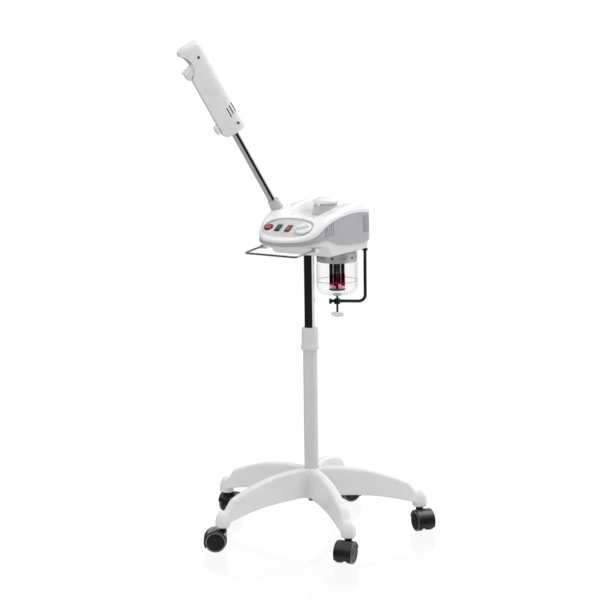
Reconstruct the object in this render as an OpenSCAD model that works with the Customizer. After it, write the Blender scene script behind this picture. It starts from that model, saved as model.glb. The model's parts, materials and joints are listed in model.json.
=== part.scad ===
// Facial steamer on a rolling five-arm stand: boiler jar, timer panel, swinging steam arm.
// Millimetres, +Z up. The origin is on the floor, on the axis of the column.
// The control panel faces -Y. The vented side shown first is the +X side.

/* [Stand] */
// Radius from the column axis to each caster stem
caster_circle_r = 265; // [220:5:320]
// Diameter of each caster wheel
wheel_d = 50; // [40:1:60]
// Height of the crown of the star base
base_crown_z = 158; // [145:1:175]
// Outer diameter of the fixed column tube
outer_tube_d = 34; // [30:1:38]
// Wall of the fixed column tube
outer_tube_wall = 2; // [1.2:0.1:2.5]
// Outer diameter of the sliding chrome tube
inner_tube_d = 25; // [20:0.5:27]
// Wall of the sliding chrome tube
inner_tube_wall = 1.5; // [1:0.1:2.5]
// Height of the top of the fixed column tube
outer_tube_top_z = 496; // [420:1:520]

/* [Head unit] */
// Height of the underside of the head unit
unit_z = 690; // [640:5:760]
// Half width of the head unit
unit_half_w = 90; // [85:1:100]
// Distance from the column to the rear of the head unit
unit_rear_y = 150; // [145:1:175]
// Wall of the mouldings
shell_wall = 3; // [2:0.25:4]
// Diameter of the filler cap
cap_d = 64; // [56:1:70]
// Width of the towel bar
towel_bar_w = 146; // [120:1:150]
// Diameter of the towel bar wire
towel_bar_d = 5; // [3:0.5:7]

/* [Water jar] */
// Outer diameter of the glass jar
jar_d = 102; // [94:1:108]
// Height of the glass jar below its shoulder
jar_h = 80; // [60:1:100]
// Wall of the glass jar
jar_wall = 3; // [2:0.25:4]
// Diameter of the clamp screw
clamp_screw_d = 6; // [5:0.5:8]
// Diameter of the jar bracket rod
bracket_rod_d = 8; // [7:0.5:10]

/* [Steam arm] */
// Angle of the steam arm from vertical
arm_tilt = 28.5; // [20:0.5:35]
// Direction the arm leans, from the panel side towards the -X side
arm_lean_dir = 40; // [20:1:60]
// Outer diameter of the arm tube
arm_tube_d = 20; // [18:0.5:22]
// Distance along the arm from its boss to the steam head
head_start = 222; // [180:1:260]
// Length of the steam head
head_len = 240; // [230:1:280]
// Depth of the steam head from face to back
head_d = 60; // [58:1:66]
// Bore of the steam nozzle
nozzle_bore_d = 21; // [16:0.5:22]

/* [Hidden] */

$fn = 64;

// Fits, all radial: a turning or sliding fit, a seat that does not move, and free space.
run_gap = 0.05;
seat_gap = 0.02;
free_gap = 0.3;

// Star base
arm_count = 5;
first_arm_angle = 34;
knuckle_z = wheel_d + 12;
knuckle_r = 18;
knuckle_h = 36;
base_floor_z = 84;
base_floor_t = 6;
hub_r = outer_tube_d / 2 + 9;
hub_ring_r = outer_tube_d / 2 + 3.5;
hub_top_z = base_crown_z - 4;
arm_curve_start = 50;
arm_top_curve = 0.0012;
arm_under_z = base_floor_z + 6;
arm_under_start = 100;
arm_under_curve = 0.0009;
arm_foot_half_w = 17;
arm_crest_half_w = 7;
arm_wall = 4;
arm_end_r = caster_circle_r - 6;

// Casters
stem_r = 5.5;
stem_top_z = knuckle_z + 26;
caster_trail = 18;
wheel_w = 15;
wheel_inner_x = 6.5;
axle_r = 4;
hood_gap = 0.8;
hood_t = 2.4;
hood_r = wheel_d / 2 + hood_gap + hood_t;
// Direction in which each caster trails at rest, counted from +X
caster_rest = [-34, 60, 95, 215, -79];

// Column
plug_t = 6;
bolt_r = 5;
collar_h = 54;
collar_top_z = outer_tube_top_z + 13;
collar_bottom_z = collar_top_z - collar_h;
collar_top_r = outer_tube_d / 2 + 2.2;
collar_foot_r = outer_tube_d / 2 + 4.8;
bush_len = 60;
bush_flange_t = 4;
inner_tube_bottom_z = 280;
socket_r = inner_tube_d / 2 + 7.5;
socket_h = 32;
inner_tube_top_z = unit_z + socket_h - 5;
socket_screw_r = 2.5;
socket_screw_z = [unit_z + 0.5, unit_z + 7.5];

// Head unit plan: a round nose, straight sides and a square rear with round corners
nose_y = -50;
nose_r = unit_half_w;
rear_corner_r = 25;
// Heights above unit_z along the side of the unit, as [distance from the column, height]
under_edge = [[-142, 35], [-95, 41], [-60, 45], [-20, 35], [43, 24], [104, 21], [152, 24]];
cover_edge = [[-142, 44], [-95, 56], [-61, 81], [2, 95], [66, 99], [152, 87]];
panel_plane = [[-142, 50], [-121, 52], [-55, 91]];
band_crest = [[-47, 96], [-3, 104], [40, 113], [65, 116], [115, 117], [152, 110]];
valley_floor = [[-53, 91.5], [-20, 88], [60, 86], [128, 88], [140, 104]];
valley_half_w = 46;
side_inset = 1.5;
pan_step_y = -42;
pan_nose_lift = 28;
cover_screw_r = 1.5;
cover_screw_spots = [[-74, 30], [74, -4], [-55, 128], [74, 100], [-74, -66], [74, -66]];

// Control panel, in a plane that slopes up towards the column
panel_y = -88;
panel_z = unit_z + 70.6;
panel_tilt = 30.6;
panel_half_w = 69;
panel_half_h = 38;
panel_t = 2.5;
switch_pitch = 28.5;
switch_x0 = -55;
timer_x = 45;
round_switch_r = 11.5;
rocker_w = 11;
rocker_l = 21;
rocker_gap = 0.6;
timer_knob_r = 20;
timer_shaft_r = 3;

// Filler
cap_x = 0;
cap_y = 77;
cap_r = cap_d / 2;
cap_z = unit_z + 121;
cap_h = 14;
neck_top_r = cap_r - 2;
neck_foot_r = cap_r + 4;
cap_gasket_r = neck_top_r - 4;
cap_gasket_t = 3;
filler_bore_r = 12;

// Jar, its flange and the heater
jar_x = 12;
jar_y = 106;
jar_r = jar_d / 2;
flange_top_z = unit_z;
flange_plate_t = 8;
flange_r = jar_r - 1;
jar_neck_r = jar_r - 7;
jar_neck_h = 22;
gasket_t = 3;
jar_shoulder_z = flange_top_z - flange_plate_t - gasket_t - jar_neck_h;
jar_bottom_z = jar_shoulder_z - jar_h;
jar_foot_round = 20;
heater_rod_r = 4;
heater_ring_r = 15;
heater_disc_r = 20;
heater_disc_z = jar_bottom_z + 9;
filler_tube_r = 9;
filler_x = cap_x - jar_x;
filler_y = cap_y - jar_y;
steam_x = -26;
steam_y = 14;
duct_r = 9;
duct_wall = 2;

// Bracket under the jar, hanging from a pivot beside it
bracket_angle = 29;
bracket_reach = jar_r + 18;
bracket_x = jar_x + bracket_reach * cos(bracket_angle);
bracket_y = jar_y + bracket_reach * sin(bracket_angle);
bracket_bar_z = jar_bottom_z - 19;
bracket_bend_r = 16;
bracket_tail = 17;
bracket_pivot_top_z = unit_z + 20;
pivot_collar_t = 4;
pivot_room_r = bracket_rod_d / 2 + 3 + free_gap;
bracket_boss_r = clamp_screw_d / 2 + 4.5;
bracket_boss_h = 14;
pad_r = 11;
pad_t = 5;
pad_top_z = jar_bottom_z - free_gap;
clamp_screw_len = 52;
knob_half_w = 17.5;
knob_hub_r = 7;
knob_h = 13;

// Steam arm frame: its origin is on the boss, +Z runs along the arm, -Y is the face of the head
arm_x = -70;
arm_y = -20;
arm_z = unit_z + 98;
arm_r = arm_tube_d / 2;
boss_r = arm_r + 8;
boss_top_s = 10;
collar_len = 26;
collar_base_r = arm_r + 5.5;
collar_lip_r = arm_r + 3;
head_end = head_start + head_len;
head_r = head_d / 2;
head_half_w = head_r - 4;
head_round = 14;
head_wall = 2.5;
nozzle_s = head_end - 57;
nozzle_tilt = 12;
nozzle_r = nozzle_bore_d / 2 + 3.5;
nozzle_reach = head_r + 10;
scoop_r = 38;
scoop_y = -head_r - 22;
nozzle_root = -scoop_y - scoop_r - head_wall - 4.5;
nozzle_collar_r = nozzle_r + 1;
nozzle_collar_t = 2;
nozzle_socket = 8;
scoop_s = nozzle_s + 10;
head_screw_s = [head_start + 22, head_end - 37];
head_screw_y = [13, 6];
grip_s = head_start + 28;
grip_r = 12;

// ---------- shared shapes ----------

// A tube along +Z
module tube(outer_r, inner_r, h) {
  difference() {
    cylinder(r = outer_r, h = h);
    translate([0, 0, -1]) cylinder(r = inner_r, h = h + 2);
  }
}

// A straight round bar between two points
module bar(from, to, r) {
  d = to - from;
  length = norm(d);
  translate(from)
    rotate([0, acos(d[2] / length), atan2(d[1], d[0])])
      cylinder(r = r, h = length);
}

// Plan of the head unit, moved in by the given distance
module unit_plan(inset) {
  w = unit_half_w - inset;
  rear = unit_rear_y - inset;
  corner = rear_corner_r - inset;
  translate([0, nose_y]) circle(r = nose_r - inset);
  translate([-w, nose_y]) square([2 * w, rear - corner - nose_y]);
  translate([-w + corner, nose_y]) square([2 * (w - corner), rear - nose_y]);
  for (side = [-1, 1])
    translate([side * (w - corner), rear - corner]) circle(r = corner);
}

// A prism across the unit whose side view is the band between two lists of edge points
module side_band(low, high, half_w) {
  outline = concat(low, [for (i = [len(high) - 1 : -1 : 0]) high[i]]);
  translate([half_w, 0, unit_z])
    rotate([90, 0, -90])
      mirror([1, 0, 0])
        linear_extrude(2 * half_w) polygon(outline);
}

// Height of the tray's underside at y
function pan_floor_z(y) = unit_z + (y < pan_step_y ? pan_nose_lift : 0);

function raised(points, dz) = [for (p = points) [p[0], p[1] + dz]];

module on_panel(x) {
  translate([x, panel_y, panel_z]) rotate([panel_tilt, 0, 0]) children();
}

module on_arm() {
  translate([arm_x, arm_y, arm_z])
    rotate([0, 0, -arm_lean_dir]) rotate([arm_tilt, 0, 0]) children();
}

module at_jar() {
  translate([jar_x, jar_y, 0]) children();
}

// ---------- stand ----------

function arm_top(r) = base_crown_z - arm_top_curve * pow(max(0, r - arm_curve_start), 2);
function arm_under(r) = arm_under_z - arm_under_curve * pow(max(0, r - arm_under_start), 2);

// Side view of one arm with its wall taken off the top
module arm_side(top_drop, under_drop, end_r) {
  steps = 12;
  top = [for (i = [0 : steps]) let (r = end_r * i / steps) [r, arm_top(r) - top_drop]];
  under = [for (i = [steps : -1 : 0]) let (r = end_r * i / steps) [r, arm_under(r) - under_drop]];
  polygon(concat(top, under));
}

module arm_solid(top_drop, under_drop, end_r, side_drop) {
  slope_top_z = base_crown_z + 4;
  slope_foot_z = knuckle_z - 12;
  intersection() {
    translate([0, arm_foot_half_w + 5, 0])
      rotate([90, 0, 0])
        linear_extrude(2 * arm_foot_half_w + 10) arm_side(top_drop, under_drop, end_r);
    rotate([90, 0, 90])
      linear_extrude(end_r + 1)
        polygon([
          [-arm_foot_half_w + side_drop, slope_foot_z],
          [arm_foot_half_w - side_drop, slope_foot_z],
          [arm_crest_half_w - side_drop * 0.9, slope_top_z],
          [-arm_crest_half_w + side_drop * 0.9, slope_top_z]
        ]);
  }
}

module knuckle() {
  dome_z = knuckle_h - knuckle_r;
  rotate_extrude() {
    square([knuckle_r, dome_z]);
    translate([0, dome_z])
      intersection() {
        circle(r = knuckle_r);
        square(knuckle_r);
      }
  }
}

module base_star() {
  color("whitesmoke")
    difference() {
      union() {
        translate([0, 0, base_floor_z]) cylinder(r = hub_r, h = hub_top_z - base_floor_z - 3);
        translate([0, 0, base_floor_z]) cylinder(r = hub_ring_r, h = hub_top_z - base_floor_z);
        for (i = [0 : arm_count - 1])
          rotate(first_arm_angle + i * 360 / arm_count) {
            difference() {
              arm_solid(0, 0, arm_end_r, 0);
              intersection() {
                arm_solid(arm_wall, 12, arm_end_r - knuckle_r, arm_wall);
                translate([hub_r + 2, -50, 0]) cube([arm_end_r, 100, 300]);
              }
            }
            translate([caster_circle_r, 0, knuckle_z]) knuckle();
          }
      }
      translate([0, 0, base_floor_z + base_floor_t])
        cylinder(r = outer_tube_d / 2 + seat_gap, h = hub_top_z);
      translate([0, 0, base_floor_z - 1]) cylinder(r = bolt_r + run_gap, h = base_floor_t + 2);
      for (i = [0 : arm_count - 1])
        rotate(first_arm_angle + i * 360 / arm_count)
          translate([caster_circle_r, 0, knuckle_z - 1])
            cylinder(r = stem_r + run_gap, h = stem_top_z - knuckle_z + 3);
    }
}

// Places its children at caster i, with +X along the trail and z = 0 on the floor
module at_caster(i) {
  rotate(first_arm_angle + i * 360 / arm_count)
    translate([caster_circle_r, 0, 0])
      rotate(caster_rest[i] - first_arm_angle - i * 360 / arm_count) children();
}

module caster_fork(i) {
  hood_w = 2 * (wheel_inner_x + wheel_w) + 1;
  web_t = 2 * wheel_inner_x - 2;
  color([0.09, 0.09, 0.1])
    at_caster(i) {
      translate([caster_trail, 0, wheel_d / 2])
        rotate([90, 0, 0]) {
          translate([0, 0, -hood_w / 2])
            intersection() {
              tube(hood_r, hood_r - hood_t, hood_w);
              rotate(-12) translate([-60, 0, -1]) cube([120, 60, hood_w + 2]);
            }
          difference() {
            translate([0, 0, -web_t / 2]) cylinder(r = hood_r - 1, h = web_t);
            translate([-60, -60, -hood_w]) cube([120, 60 - 14, 2 * hood_w]);
          }
          translate([0, 0, -wheel_inner_x - wheel_w + 3])
            cylinder(r = axle_r, h = 2 * (wheel_inner_x + wheel_w) - 6);
        }
      difference() {
        translate([0, 0, wheel_d / 2 + 18.6]) cylinder(r = 9, h = knuckle_z - wheel_d / 2 - 18.6 - free_gap);
        translate([caster_trail, 0, wheel_d / 2])
          rotate([90, 0, 0])
            for (side = [0, 1])
              mirror([0, 0, side]) translate([0, 0, web_t / 2]) cylinder(r = hood_r - hood_t, h = hood_w);
      }
      translate([0, 0, knuckle_z - 8]) cylinder(r = stem_r, h = stem_top_z - knuckle_z + 8);
    }
}

// One hollow wheel with a tread, a recessed disc and a blind hub bore
module caster_wheel(i, side) {
  color([0.12, 0.12, 0.13])
    at_caster(i)
      translate([caster_trail, 0, wheel_d / 2])
        rotate([90, 0, 0])
          mirror([0, 0, side < 0 ? 1 : 0])
            translate([0, 0, wheel_inner_x])
              difference() {
                rotate_extrude()
                  difference() {
                    square([wheel_d / 2, wheel_w]);
                    translate([wheel_d / 2 - 5.5, wheel_w - 1.5]) square([2.5, 5]);
                    translate([wheel_d / 2, wheel_w]) rotate(45) square(3, center = true);
                  }
                translate([0, 0, -1]) cylinder(r = axle_r + run_gap, h = wheel_w - 1.5);
              }
}

module outer_column() {
  bottom_z = base_floor_z + base_floor_t;
  color("white")
    translate([0, 0, bottom_z])
      difference() {
        cylinder(r = outer_tube_d / 2, h = outer_tube_top_z - bottom_z);
        translate([0, 0, plug_t])
          cylinder(r = outer_tube_d / 2 - outer_tube_wall, h = outer_tube_top_z);
        translate([0, 0, -1]) cylinder(r = bolt_r + run_gap, h = plug_t + 2);
      }
}

module base_bolt() {
  head_h = 6;
  washer_t = 2;
  color("silver") {
    translate([0, 0, base_floor_z - washer_t - head_h]) cylinder(r = 9, h = head_h, $fn = 6);
    translate([0, 0, base_floor_z - washer_t - head_h / 2])
      cylinder(r = bolt_r, h = head_h / 2 + washer_t + base_floor_t + plug_t + 4);
    translate([0, 0, base_floor_z - washer_t]) cylinder(r = 13, h = washer_t);
  }
}

module guide_bush() {
  color([0.12, 0.12, 0.13])
    difference() {
      union() {
        translate([0, 0, outer_tube_top_z - bush_len])
          cylinder(r = outer_tube_d / 2 - outer_tube_wall - seat_gap, h = bush_len + 1);
        translate([0, 0, outer_tube_top_z])
          cylinder(r = outer_tube_d / 2 - 1, h = bush_flange_t);
      }
      translate([0, 0, outer_tube_top_z - bush_len - 1])
        cylinder(r = inner_tube_d / 2 + run_gap, h = bush_len + bush_flange_t + 2);
      translate([-outer_tube_d, -0.8, outer_tube_top_z - 25])
        cube([outer_tube_d, 1.6, 40]);
    }
}

module lock_collar() {
  bore_r = outer_tube_d / 2 + run_gap;
  color("gainsboro")
    difference() {
      translate([0, 0, collar_bottom_z])
        rotate_extrude()
          polygon([
            [0, 0], [collar_foot_r - 1, 0], [collar_foot_r, 1.5], [collar_foot_r, 9],
            [collar_foot_r - 1, 11], [collar_top_r, collar_h - 2], [collar_top_r - 1.5, collar_h],
            [0, collar_h]
          ]);
      translate([0, 0, collar_bottom_z - 1])
        cylinder(r = bore_r, h = outer_tube_top_z + bush_flange_t + free_gap - collar_bottom_z + 1);
      translate([0, 0, collar_bottom_z - 1])
        cylinder(r = inner_tube_d / 2 + 1, h = collar_h + 2);
    }
}

module inner_column() {
  color("lightgray")
    translate([0, 0, inner_tube_bottom_z])
      tube(inner_tube_d / 2, inner_tube_d / 2 - inner_tube_wall, inner_tube_top_z - inner_tube_bottom_z);
}

// ---------- head unit ----------

module column_socket() {
  color("whitesmoke")
    difference() {
      union() {
        translate([0, 0, unit_z - 2]) cylinder(r = socket_r, h = socket_h + 2);
        translate([0, 0, unit_z + shell_wall + seat_gap]) cylinder(r = socket_r + 12, h = 4);
      }
      translate([0, 0, unit_z - 3])
        cylinder(r = inner_tube_d / 2 + run_gap, h = inner_tube_top_z - unit_z + 3 + run_gap);
      for (z = socket_screw_z)
        translate([0, 0, z]) socket_screw_line(socket_screw_r + seat_gap, 0);
    }
}

// A radial cylinder through the socket wall, towards the front corner of the near side
module socket_screw_line(r, tip_gap) {
  rotate([90, 0, 45])
    translate([0, 0, inner_tube_d / 2 + tip_gap])
      cylinder(r = r, h = socket_r - inner_tube_d / 2 - tip_gap + 0.5);
}

module socket_screws() {
  color([0.1, 0.1, 0.1])
    for (z = socket_screw_z)
      translate([0, 0, z]) socket_screw_line(socket_screw_r, free_gap);
}

// The lower tray: shallow under the panel and deeper from the column to the rear
module bottom_pan() {
  rim_inset = side_inset + shell_wall + free_gap;
  shallow = [[-142, pan_nose_lift], [pan_step_y, pan_nose_lift], [pan_step_y + 8, 0], [152, 0]];
  deck = raised(under_edge, 6);
  color("whitesmoke")
    difference() {
      union() {
        difference() {
          intersection() {
            translate([0, 0, unit_z]) linear_extrude(60) unit_plan(rim_inset);
            side_band(shallow, deck, unit_half_w);
          }
          intersection() {
            translate([0, 0, unit_z]) linear_extrude(60) unit_plan(rim_inset + shell_wall);
            side_band(raised(shallow, shell_wall), raised(under_edge, 20), unit_half_w);
          }
        }
        translate([bracket_x, bracket_y, unit_z])
          cylinder(r = pivot_room_r + 1, h = bracket_pivot_top_z - unit_z + 1);
      }
      translate([bracket_x, bracket_y, bracket_pivot_top_z - pivot_collar_t - free_gap])
        cylinder(r = pivot_room_r, h = 40);
      for (spot = cover_screw_spots)
        translate([spot[0], spot[1], pan_floor_z(spot[1]) - 1]) cylinder(r = cover_screw_r + seat_gap, h = 10);
      for (z = socket_screw_z)
        translate([0, 0, z]) socket_screw_line(socket_screw_r + seat_gap, 0);
      translate([0, 0, unit_z - 1]) cylinder(r = socket_r + seat_gap, h = 10);
      at_jar() {
        translate([filler_x, filler_y, unit_z - 1]) cylinder(r = filler_tube_r + free_gap, h = 10);
        translate([steam_x, steam_y, unit_z - 1]) cylinder(r = duct_r + free_gap, h = 10);
        translate([0, 0, unit_z - 1]) cylinder(r = 10, h = 10);
      }
      translate([bracket_x, bracket_y, unit_z - 1])
        cylinder(r = bracket_rod_d / 2 + run_gap, h = 30);
    }
}

module side_body() {
  vent_count = 5;
  color([0.72, 0.73, 0.75])
    difference() {
      intersection() {
        translate([0, 0, unit_z]) linear_extrude(120) unit_plan(side_inset);
        side_band(under_edge, cover_edge, unit_half_w);
      }
      translate([0, 0, unit_z - 1]) linear_extrude(130) unit_plan(side_inset + shell_wall);
      for (side = [-1, 1])
        for (i = [0 : vent_count - 1])
          translate([side * unit_half_w - 8, -62 + i * 8, unit_z + 52])
            cube([16, 2.6, i == vent_count - 1 ? 34 : 28 - 3 * abs(i - 3) + i]);
      translate([unit_half_w - side_inset - 0.8, 105, unit_z + 44]) cube([5, 24, 40]);
      translate([0, unit_rear_y - side_inset - shell_wall / 2, unit_z + 50])
        cube([28, 3 * shell_wall, 20], center = true);
    }
}

module cover_outer() {
  difference() {
    union() {
      intersection() {
        translate([0, 0, unit_z]) linear_extrude(130) unit_plan(0);
        side_band(cover_edge, concat(panel_plane, band_crest), unit_half_w + 1);
      }
      side_band(raised(valley_floor, -shell_wall), raised(valley_floor, 14), valley_half_w + shell_wall);
    }
    side_band(valley_floor, raised(valley_floor, 60), valley_half_w);
  }
}

module cover_inner() {
  difference() {
    intersection() {
      translate([0, 0, unit_z]) linear_extrude(130) unit_plan(side_inset + shell_wall);
      side_band(raised(cover_edge, -20), raised(concat(panel_plane, band_crest), -shell_wall - 1),
        unit_half_w);
    }
    side_band(raised(valley_floor, -shell_wall), raised(valley_floor, 60), valley_half_w + shell_wall);
  }
}

module panel_oval(grow, t) {
  end_x = panel_half_w - panel_half_h;
  linear_extrude(t) {
    for (side = [-1, 1])
      translate([side * end_x, 0]) circle(r = panel_half_h + grow);
    square([2 * end_x, 2 * (panel_half_h + grow)], center = true);
  }
}

module top_cover() {
  color("white")
    difference() {
      union() {
        difference() {
          cover_outer();
          cover_inner();
        }
        intersection() {
          on_arm() translate([0, 0, -24]) cylinder(r = boss_r, h = 24 + boss_top_s);
          translate([0, 0, unit_z + 78]) linear_extrude(60) unit_plan(0.2);
        }
        intersection() {
          for (spot = cover_screw_spots)
            translate([spot[0], spot[1], pan_floor_z(spot[1]) + shell_wall + free_gap])
              cylinder(r = cover_screw_r + 3, h = 130);
          side_band([[-142, 0], [152, 0]], raised(concat(panel_plane, band_crest), -1), unit_half_w);
        }
      }
      for (spot = cover_screw_spots)
        translate([spot[0], spot[1], pan_floor_z(spot[1])]) cylinder(r = cover_screw_r + seat_gap, h = 14);
      on_panel(0) translate([0, 0, -12]) panel_oval(seat_gap - 3, 40);
      on_panel(0) translate([0, 0, -panel_t]) panel_oval(seat_gap, 40);
      on_arm() translate([0, 0, -60]) cylinder(r = arm_r + run_gap, h = 80);
      translate([cap_x, cap_y, unit_z + 60]) cylinder(r = filler_bore_r + 2 + seat_gap, h = 50);
    }
}

module cover_screws() {
  color("silver")
    for (spot = cover_screw_spots) {
      translate([spot[0], spot[1], pan_floor_z(spot[1]) - 1.2]) cylinder(r = 3.4, h = 1.2);
      translate([spot[0], spot[1], pan_floor_z(spot[1]) - 0.6]) cylinder(r = cover_screw_r, h = 12);
    }
}

module control_panel() {
  color([0.86, 0.87, 0.88])
    difference() {
      on_panel(0) translate([0, 0, -panel_t]) panel_oval(0, panel_t);
      on_panel(switch_x0) translate([0, 0, -10]) cylinder(r = round_switch_r - 1.5 + seat_gap, h = 20);
      for (i = [1, 2])
        on_panel(switch_x0 + i * switch_pitch)
          cube([rocker_w + 2 * seat_gap, rocker_l + 2 * seat_gap, 20], center = true);
      on_panel(timer_x) translate([0, 0, -10]) cylinder(r = timer_shaft_r + 1, h = 20);
    }
}

// The three switch bodies, each with a bezel that rests on the panel
module switch_housings() {
  depth = 16;
  color([0.08, 0.08, 0.09]) {
    on_panel(switch_x0)
      difference() {
        union() {
          cylinder(r = round_switch_r, h = 2);
          translate([0, 0, -depth]) cylinder(r = round_switch_r - 1.5, h = depth + 1);
        }
        translate([0, 0, -8]) cylinder(r = round_switch_r - 3, h = 20);
      }
    for (i = [1, 2])
      on_panel(switch_x0 + i * switch_pitch)
        difference() {
          union() {
            translate([-rocker_w / 2 - 1.5, -rocker_l / 2 - 1.5, 0]) cube([rocker_w + 3, rocker_l + 3, 2]);
            translate([-rocker_w / 2, -rocker_l / 2, -depth]) cube([rocker_w, rocker_l, depth + 1]);
          }
          translate([-rocker_w / 2 + 1.5, -rocker_l / 2 + 1.5, -8]) cube([rocker_w - 3, rocker_l - 3, 20]);
        }
  }
}

// A rocker that tips about the cross axis of its switch: two sloping faces over a round root
module rocker(half_l, half_w) {
  pitch_drop = 1.6;
  rotate([90, 0, 90])
    translate([0, 0, -half_w])
      linear_extrude(2 * half_w)
        polygon([
          [-half_l, 0], [-half_l, 3.4], [0, 3.4 - pitch_drop], [half_l, 4.6],
          [half_l, 0], [2.5, -4], [-2.5, -4]
        ]);
}

module power_rocker() {
  color("red")
    on_panel(switch_x0)
      intersection() {
        rocker(round_switch_r - 3 - rocker_gap, round_switch_r);
        translate([0, 0, -6]) cylinder(r = round_switch_r - 3 - rocker_gap, h = 20);
      }
}

module square_rocker(i) {
  on_panel(switch_x0 + i * switch_pitch)
    rocker(rocker_l / 2 - 1.5 - rocker_gap, rocker_w / 2 - 1.5 - free_gap);
}

module ozone_rocker() {
  color([0.25, 0.25, 0.26]) square_rocker(1);
}

module steam_rocker() {
  color([0.75, 0.1, 0.12]) square_rocker(2);
}

module timer_body() {
  color([0.3, 0.3, 0.32])
    on_panel(timer_x) {
      translate([-17, -17, -panel_t - 16]) cube([34, 34, 16 - free_gap]);
      translate([0, 0, -panel_t - 3]) cylinder(r = timer_shaft_r, h = panel_t + 10);
    }
}

module timer_knob() {
  color("white")
    on_panel(timer_x)
      difference() {
        union() {
          translate([0, 0, 0.6]) cylinder(r = timer_knob_r, h = 6);
          translate([0, 0, 6]) cylinder(r = timer_knob_r - 2.5, h = 2);
          translate([-timer_knob_r + 5, -3.5, 6]) cube([2 * timer_knob_r - 10, 7, 8]);
        }
        translate([0, 0, -1]) cylinder(r = timer_shaft_r + run_gap, h = 9);
        translate([-timer_knob_r + 6.5, 0, 13.2]) cylinder(r = 1.2, h = 3);
      }
}

// Raised filler neck with a tube that runs down into the jar
module filler_neck() {
  floor_z = unit_z + 86.7;
  color([0.8, 0.81, 0.82])
    difference() {
      union() {
        translate([cap_x, cap_y, 0])
          rotate_extrude()
            polygon([
              [0, floor_z + 1], [neck_foot_r, floor_z + 1], [neck_foot_r - 1, floor_z + 10],
              [neck_top_r, cap_z - 7], [neck_top_r - 2, cap_z - 3.5], [neck_top_r - 2, cap_z - free_gap],
              [0, cap_z - free_gap]
            ]);
        translate([cap_x, cap_y, flange_top_z]) cylinder(r = filler_tube_r, h = 100);
        translate([cap_x, cap_y, unit_z + 84]) cylinder(r = filler_bore_r + 2, h = 10);
      }
      translate([cap_x, cap_y, flange_top_z - 1]) cylinder(r = filler_tube_r - 2, h = 140);
      translate([cap_x, cap_y, cap_z - 22]) cylinder(r = neck_top_r - 6, h = 30);
      translate([cap_x, cap_y, cap_z - cap_gasket_t]) cylinder(r = cap_gasket_r + seat_gap, h = 10);
    }
}

module filler_cap() {
  color("white")
    translate([cap_x, cap_y, cap_z]) {
      rotate_extrude()
        polygon(concat(
          [[0, 0], [cap_r - 1, 0], [cap_r, 1], [cap_r, 6]],
          [for (a = [0 : 10 : 90]) [(cap_r - 8) + 8 * cos(a) * (a < 90 ? 1 : 0), 6 + 5 * sin(a)]],
          [[0, cap_h]]
        ));
      translate([0, 0, -12])
        difference() {
          cylinder(r = neck_top_r - 6 - free_gap, h = 12.5);
          translate([0, 0, -1]) cylinder(r = neck_top_r - 9, h = 12);
        }
      translate([0, -cap_r + 1, -2]) cube([7, 3, 5], center = true);
    }
}

module cap_gasket() {
  color([0.3, 0.3, 0.3])
    translate([cap_x, cap_y, cap_z - cap_gasket_t + seat_gap])
      tube(cap_gasket_r, neck_top_r - 6 - free_gap + seat_gap, cap_gasket_t - 2 * seat_gap);
}

module towel_bar() {
  r = towel_bar_d / 2;
  bend = 10;
  leg = 66;
  color("silver")
    translate([0, -88, unit_z + 24])
      rotate([5, 0, 0]) {
        for (side = [-1, 1]) {
          translate([side * towel_bar_w / 2, 8, 0]) rotate([90, 0, 0]) cylinder(r = r, h = leg + 8);
          translate([side * (towel_bar_w / 2 - bend), -leg, 0])
            rotate(side > 0 ? -90 : 180)
              rotate_extrude(angle = 90) translate([bend, 0]) circle(r = r);
        }
        translate([-towel_bar_w / 2 + bend, -leg - bend, 0])
          rotate([0, 90, 0]) cylinder(r = r, h = towel_bar_w - 2 * bend);
      }
}

module towel_bar_clips() {
  color("whitesmoke")
    difference() {
      for (side = [-1, 1])
        translate([side * (towel_bar_w / 2) - 7, -90, unit_z + 18]) cube([14, 12, 9.9]);
      translate([0, -88, unit_z + 24])
        rotate([5, 0, 0])
          for (side = [-1, 1])
            translate([side * towel_bar_w / 2, 20, 0])
              rotate([90, 0, 0]) cylinder(r = towel_bar_d / 2 + seat_gap, h = 60);
    }
}

// Appliance inlet: flange, shroud and three pins
module power_inlet() {
  flange_t = 2;
  color([0.1, 0.1, 0.1])
    translate([0, unit_rear_y - side_inset, unit_z + 50]) {
      difference() {
        union() {
          translate([-19, 0, -14]) cube([38, flange_t, 28]);
          translate([-14 + seat_gap, -18, -10 + seat_gap]) cube([28 - 2 * seat_gap, 19, 20 - 2 * seat_gap]);
        }
        translate([-12, -15, -8]) cube([24, 30, 16]);
      }
      for (x = [-7, 0, 7])
        translate([x - 1, -16, (x == 0 ? 3 : 0) - 2]) cube([2, 14, 4]);
    }
}

module circuit_board() {
  color("darkgreen")
    translate([38, 8, unit_z + 24]) {
      cube([44, 80, 1.6]);
      translate([6, 8, 1.5]) cube([26, 30, 24]);
      translate([8, 52, 1.5]) cube([12, 16, 12]);
      translate([30, 60, 1]) cylinder(r = 6, h = 18);
      for (x = [4, 40])
        for (y = [4, 76])
          translate([x, y, shell_wall - 24 + seat_gap]) cylinder(r = 2, h = 24 - shell_wall + 0.5);
    }
}

// Steam pipe from the jar flange to the arm boss
duct_socket_s = -40;
duct_path = [
  [jar_x + steam_x, jar_y + steam_y, flange_top_z],
  [jar_x + steam_x, jar_y + steam_y, unit_z + 22],
  [arm_x, arm_y, arm_z] + duct_socket_s
    * [-sin(arm_tilt) * sin(arm_lean_dir), -sin(arm_tilt) * cos(arm_lean_dir), cos(arm_tilt)]
];

module duct_solid(r, knee_r) {
  for (i = [0 : len(duct_path) - 2]) bar(duct_path[i], duct_path[i + 1], r);
  for (i = [1 : len(duct_path) - 2]) translate(duct_path[i]) sphere(r = knee_r);
}

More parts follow.
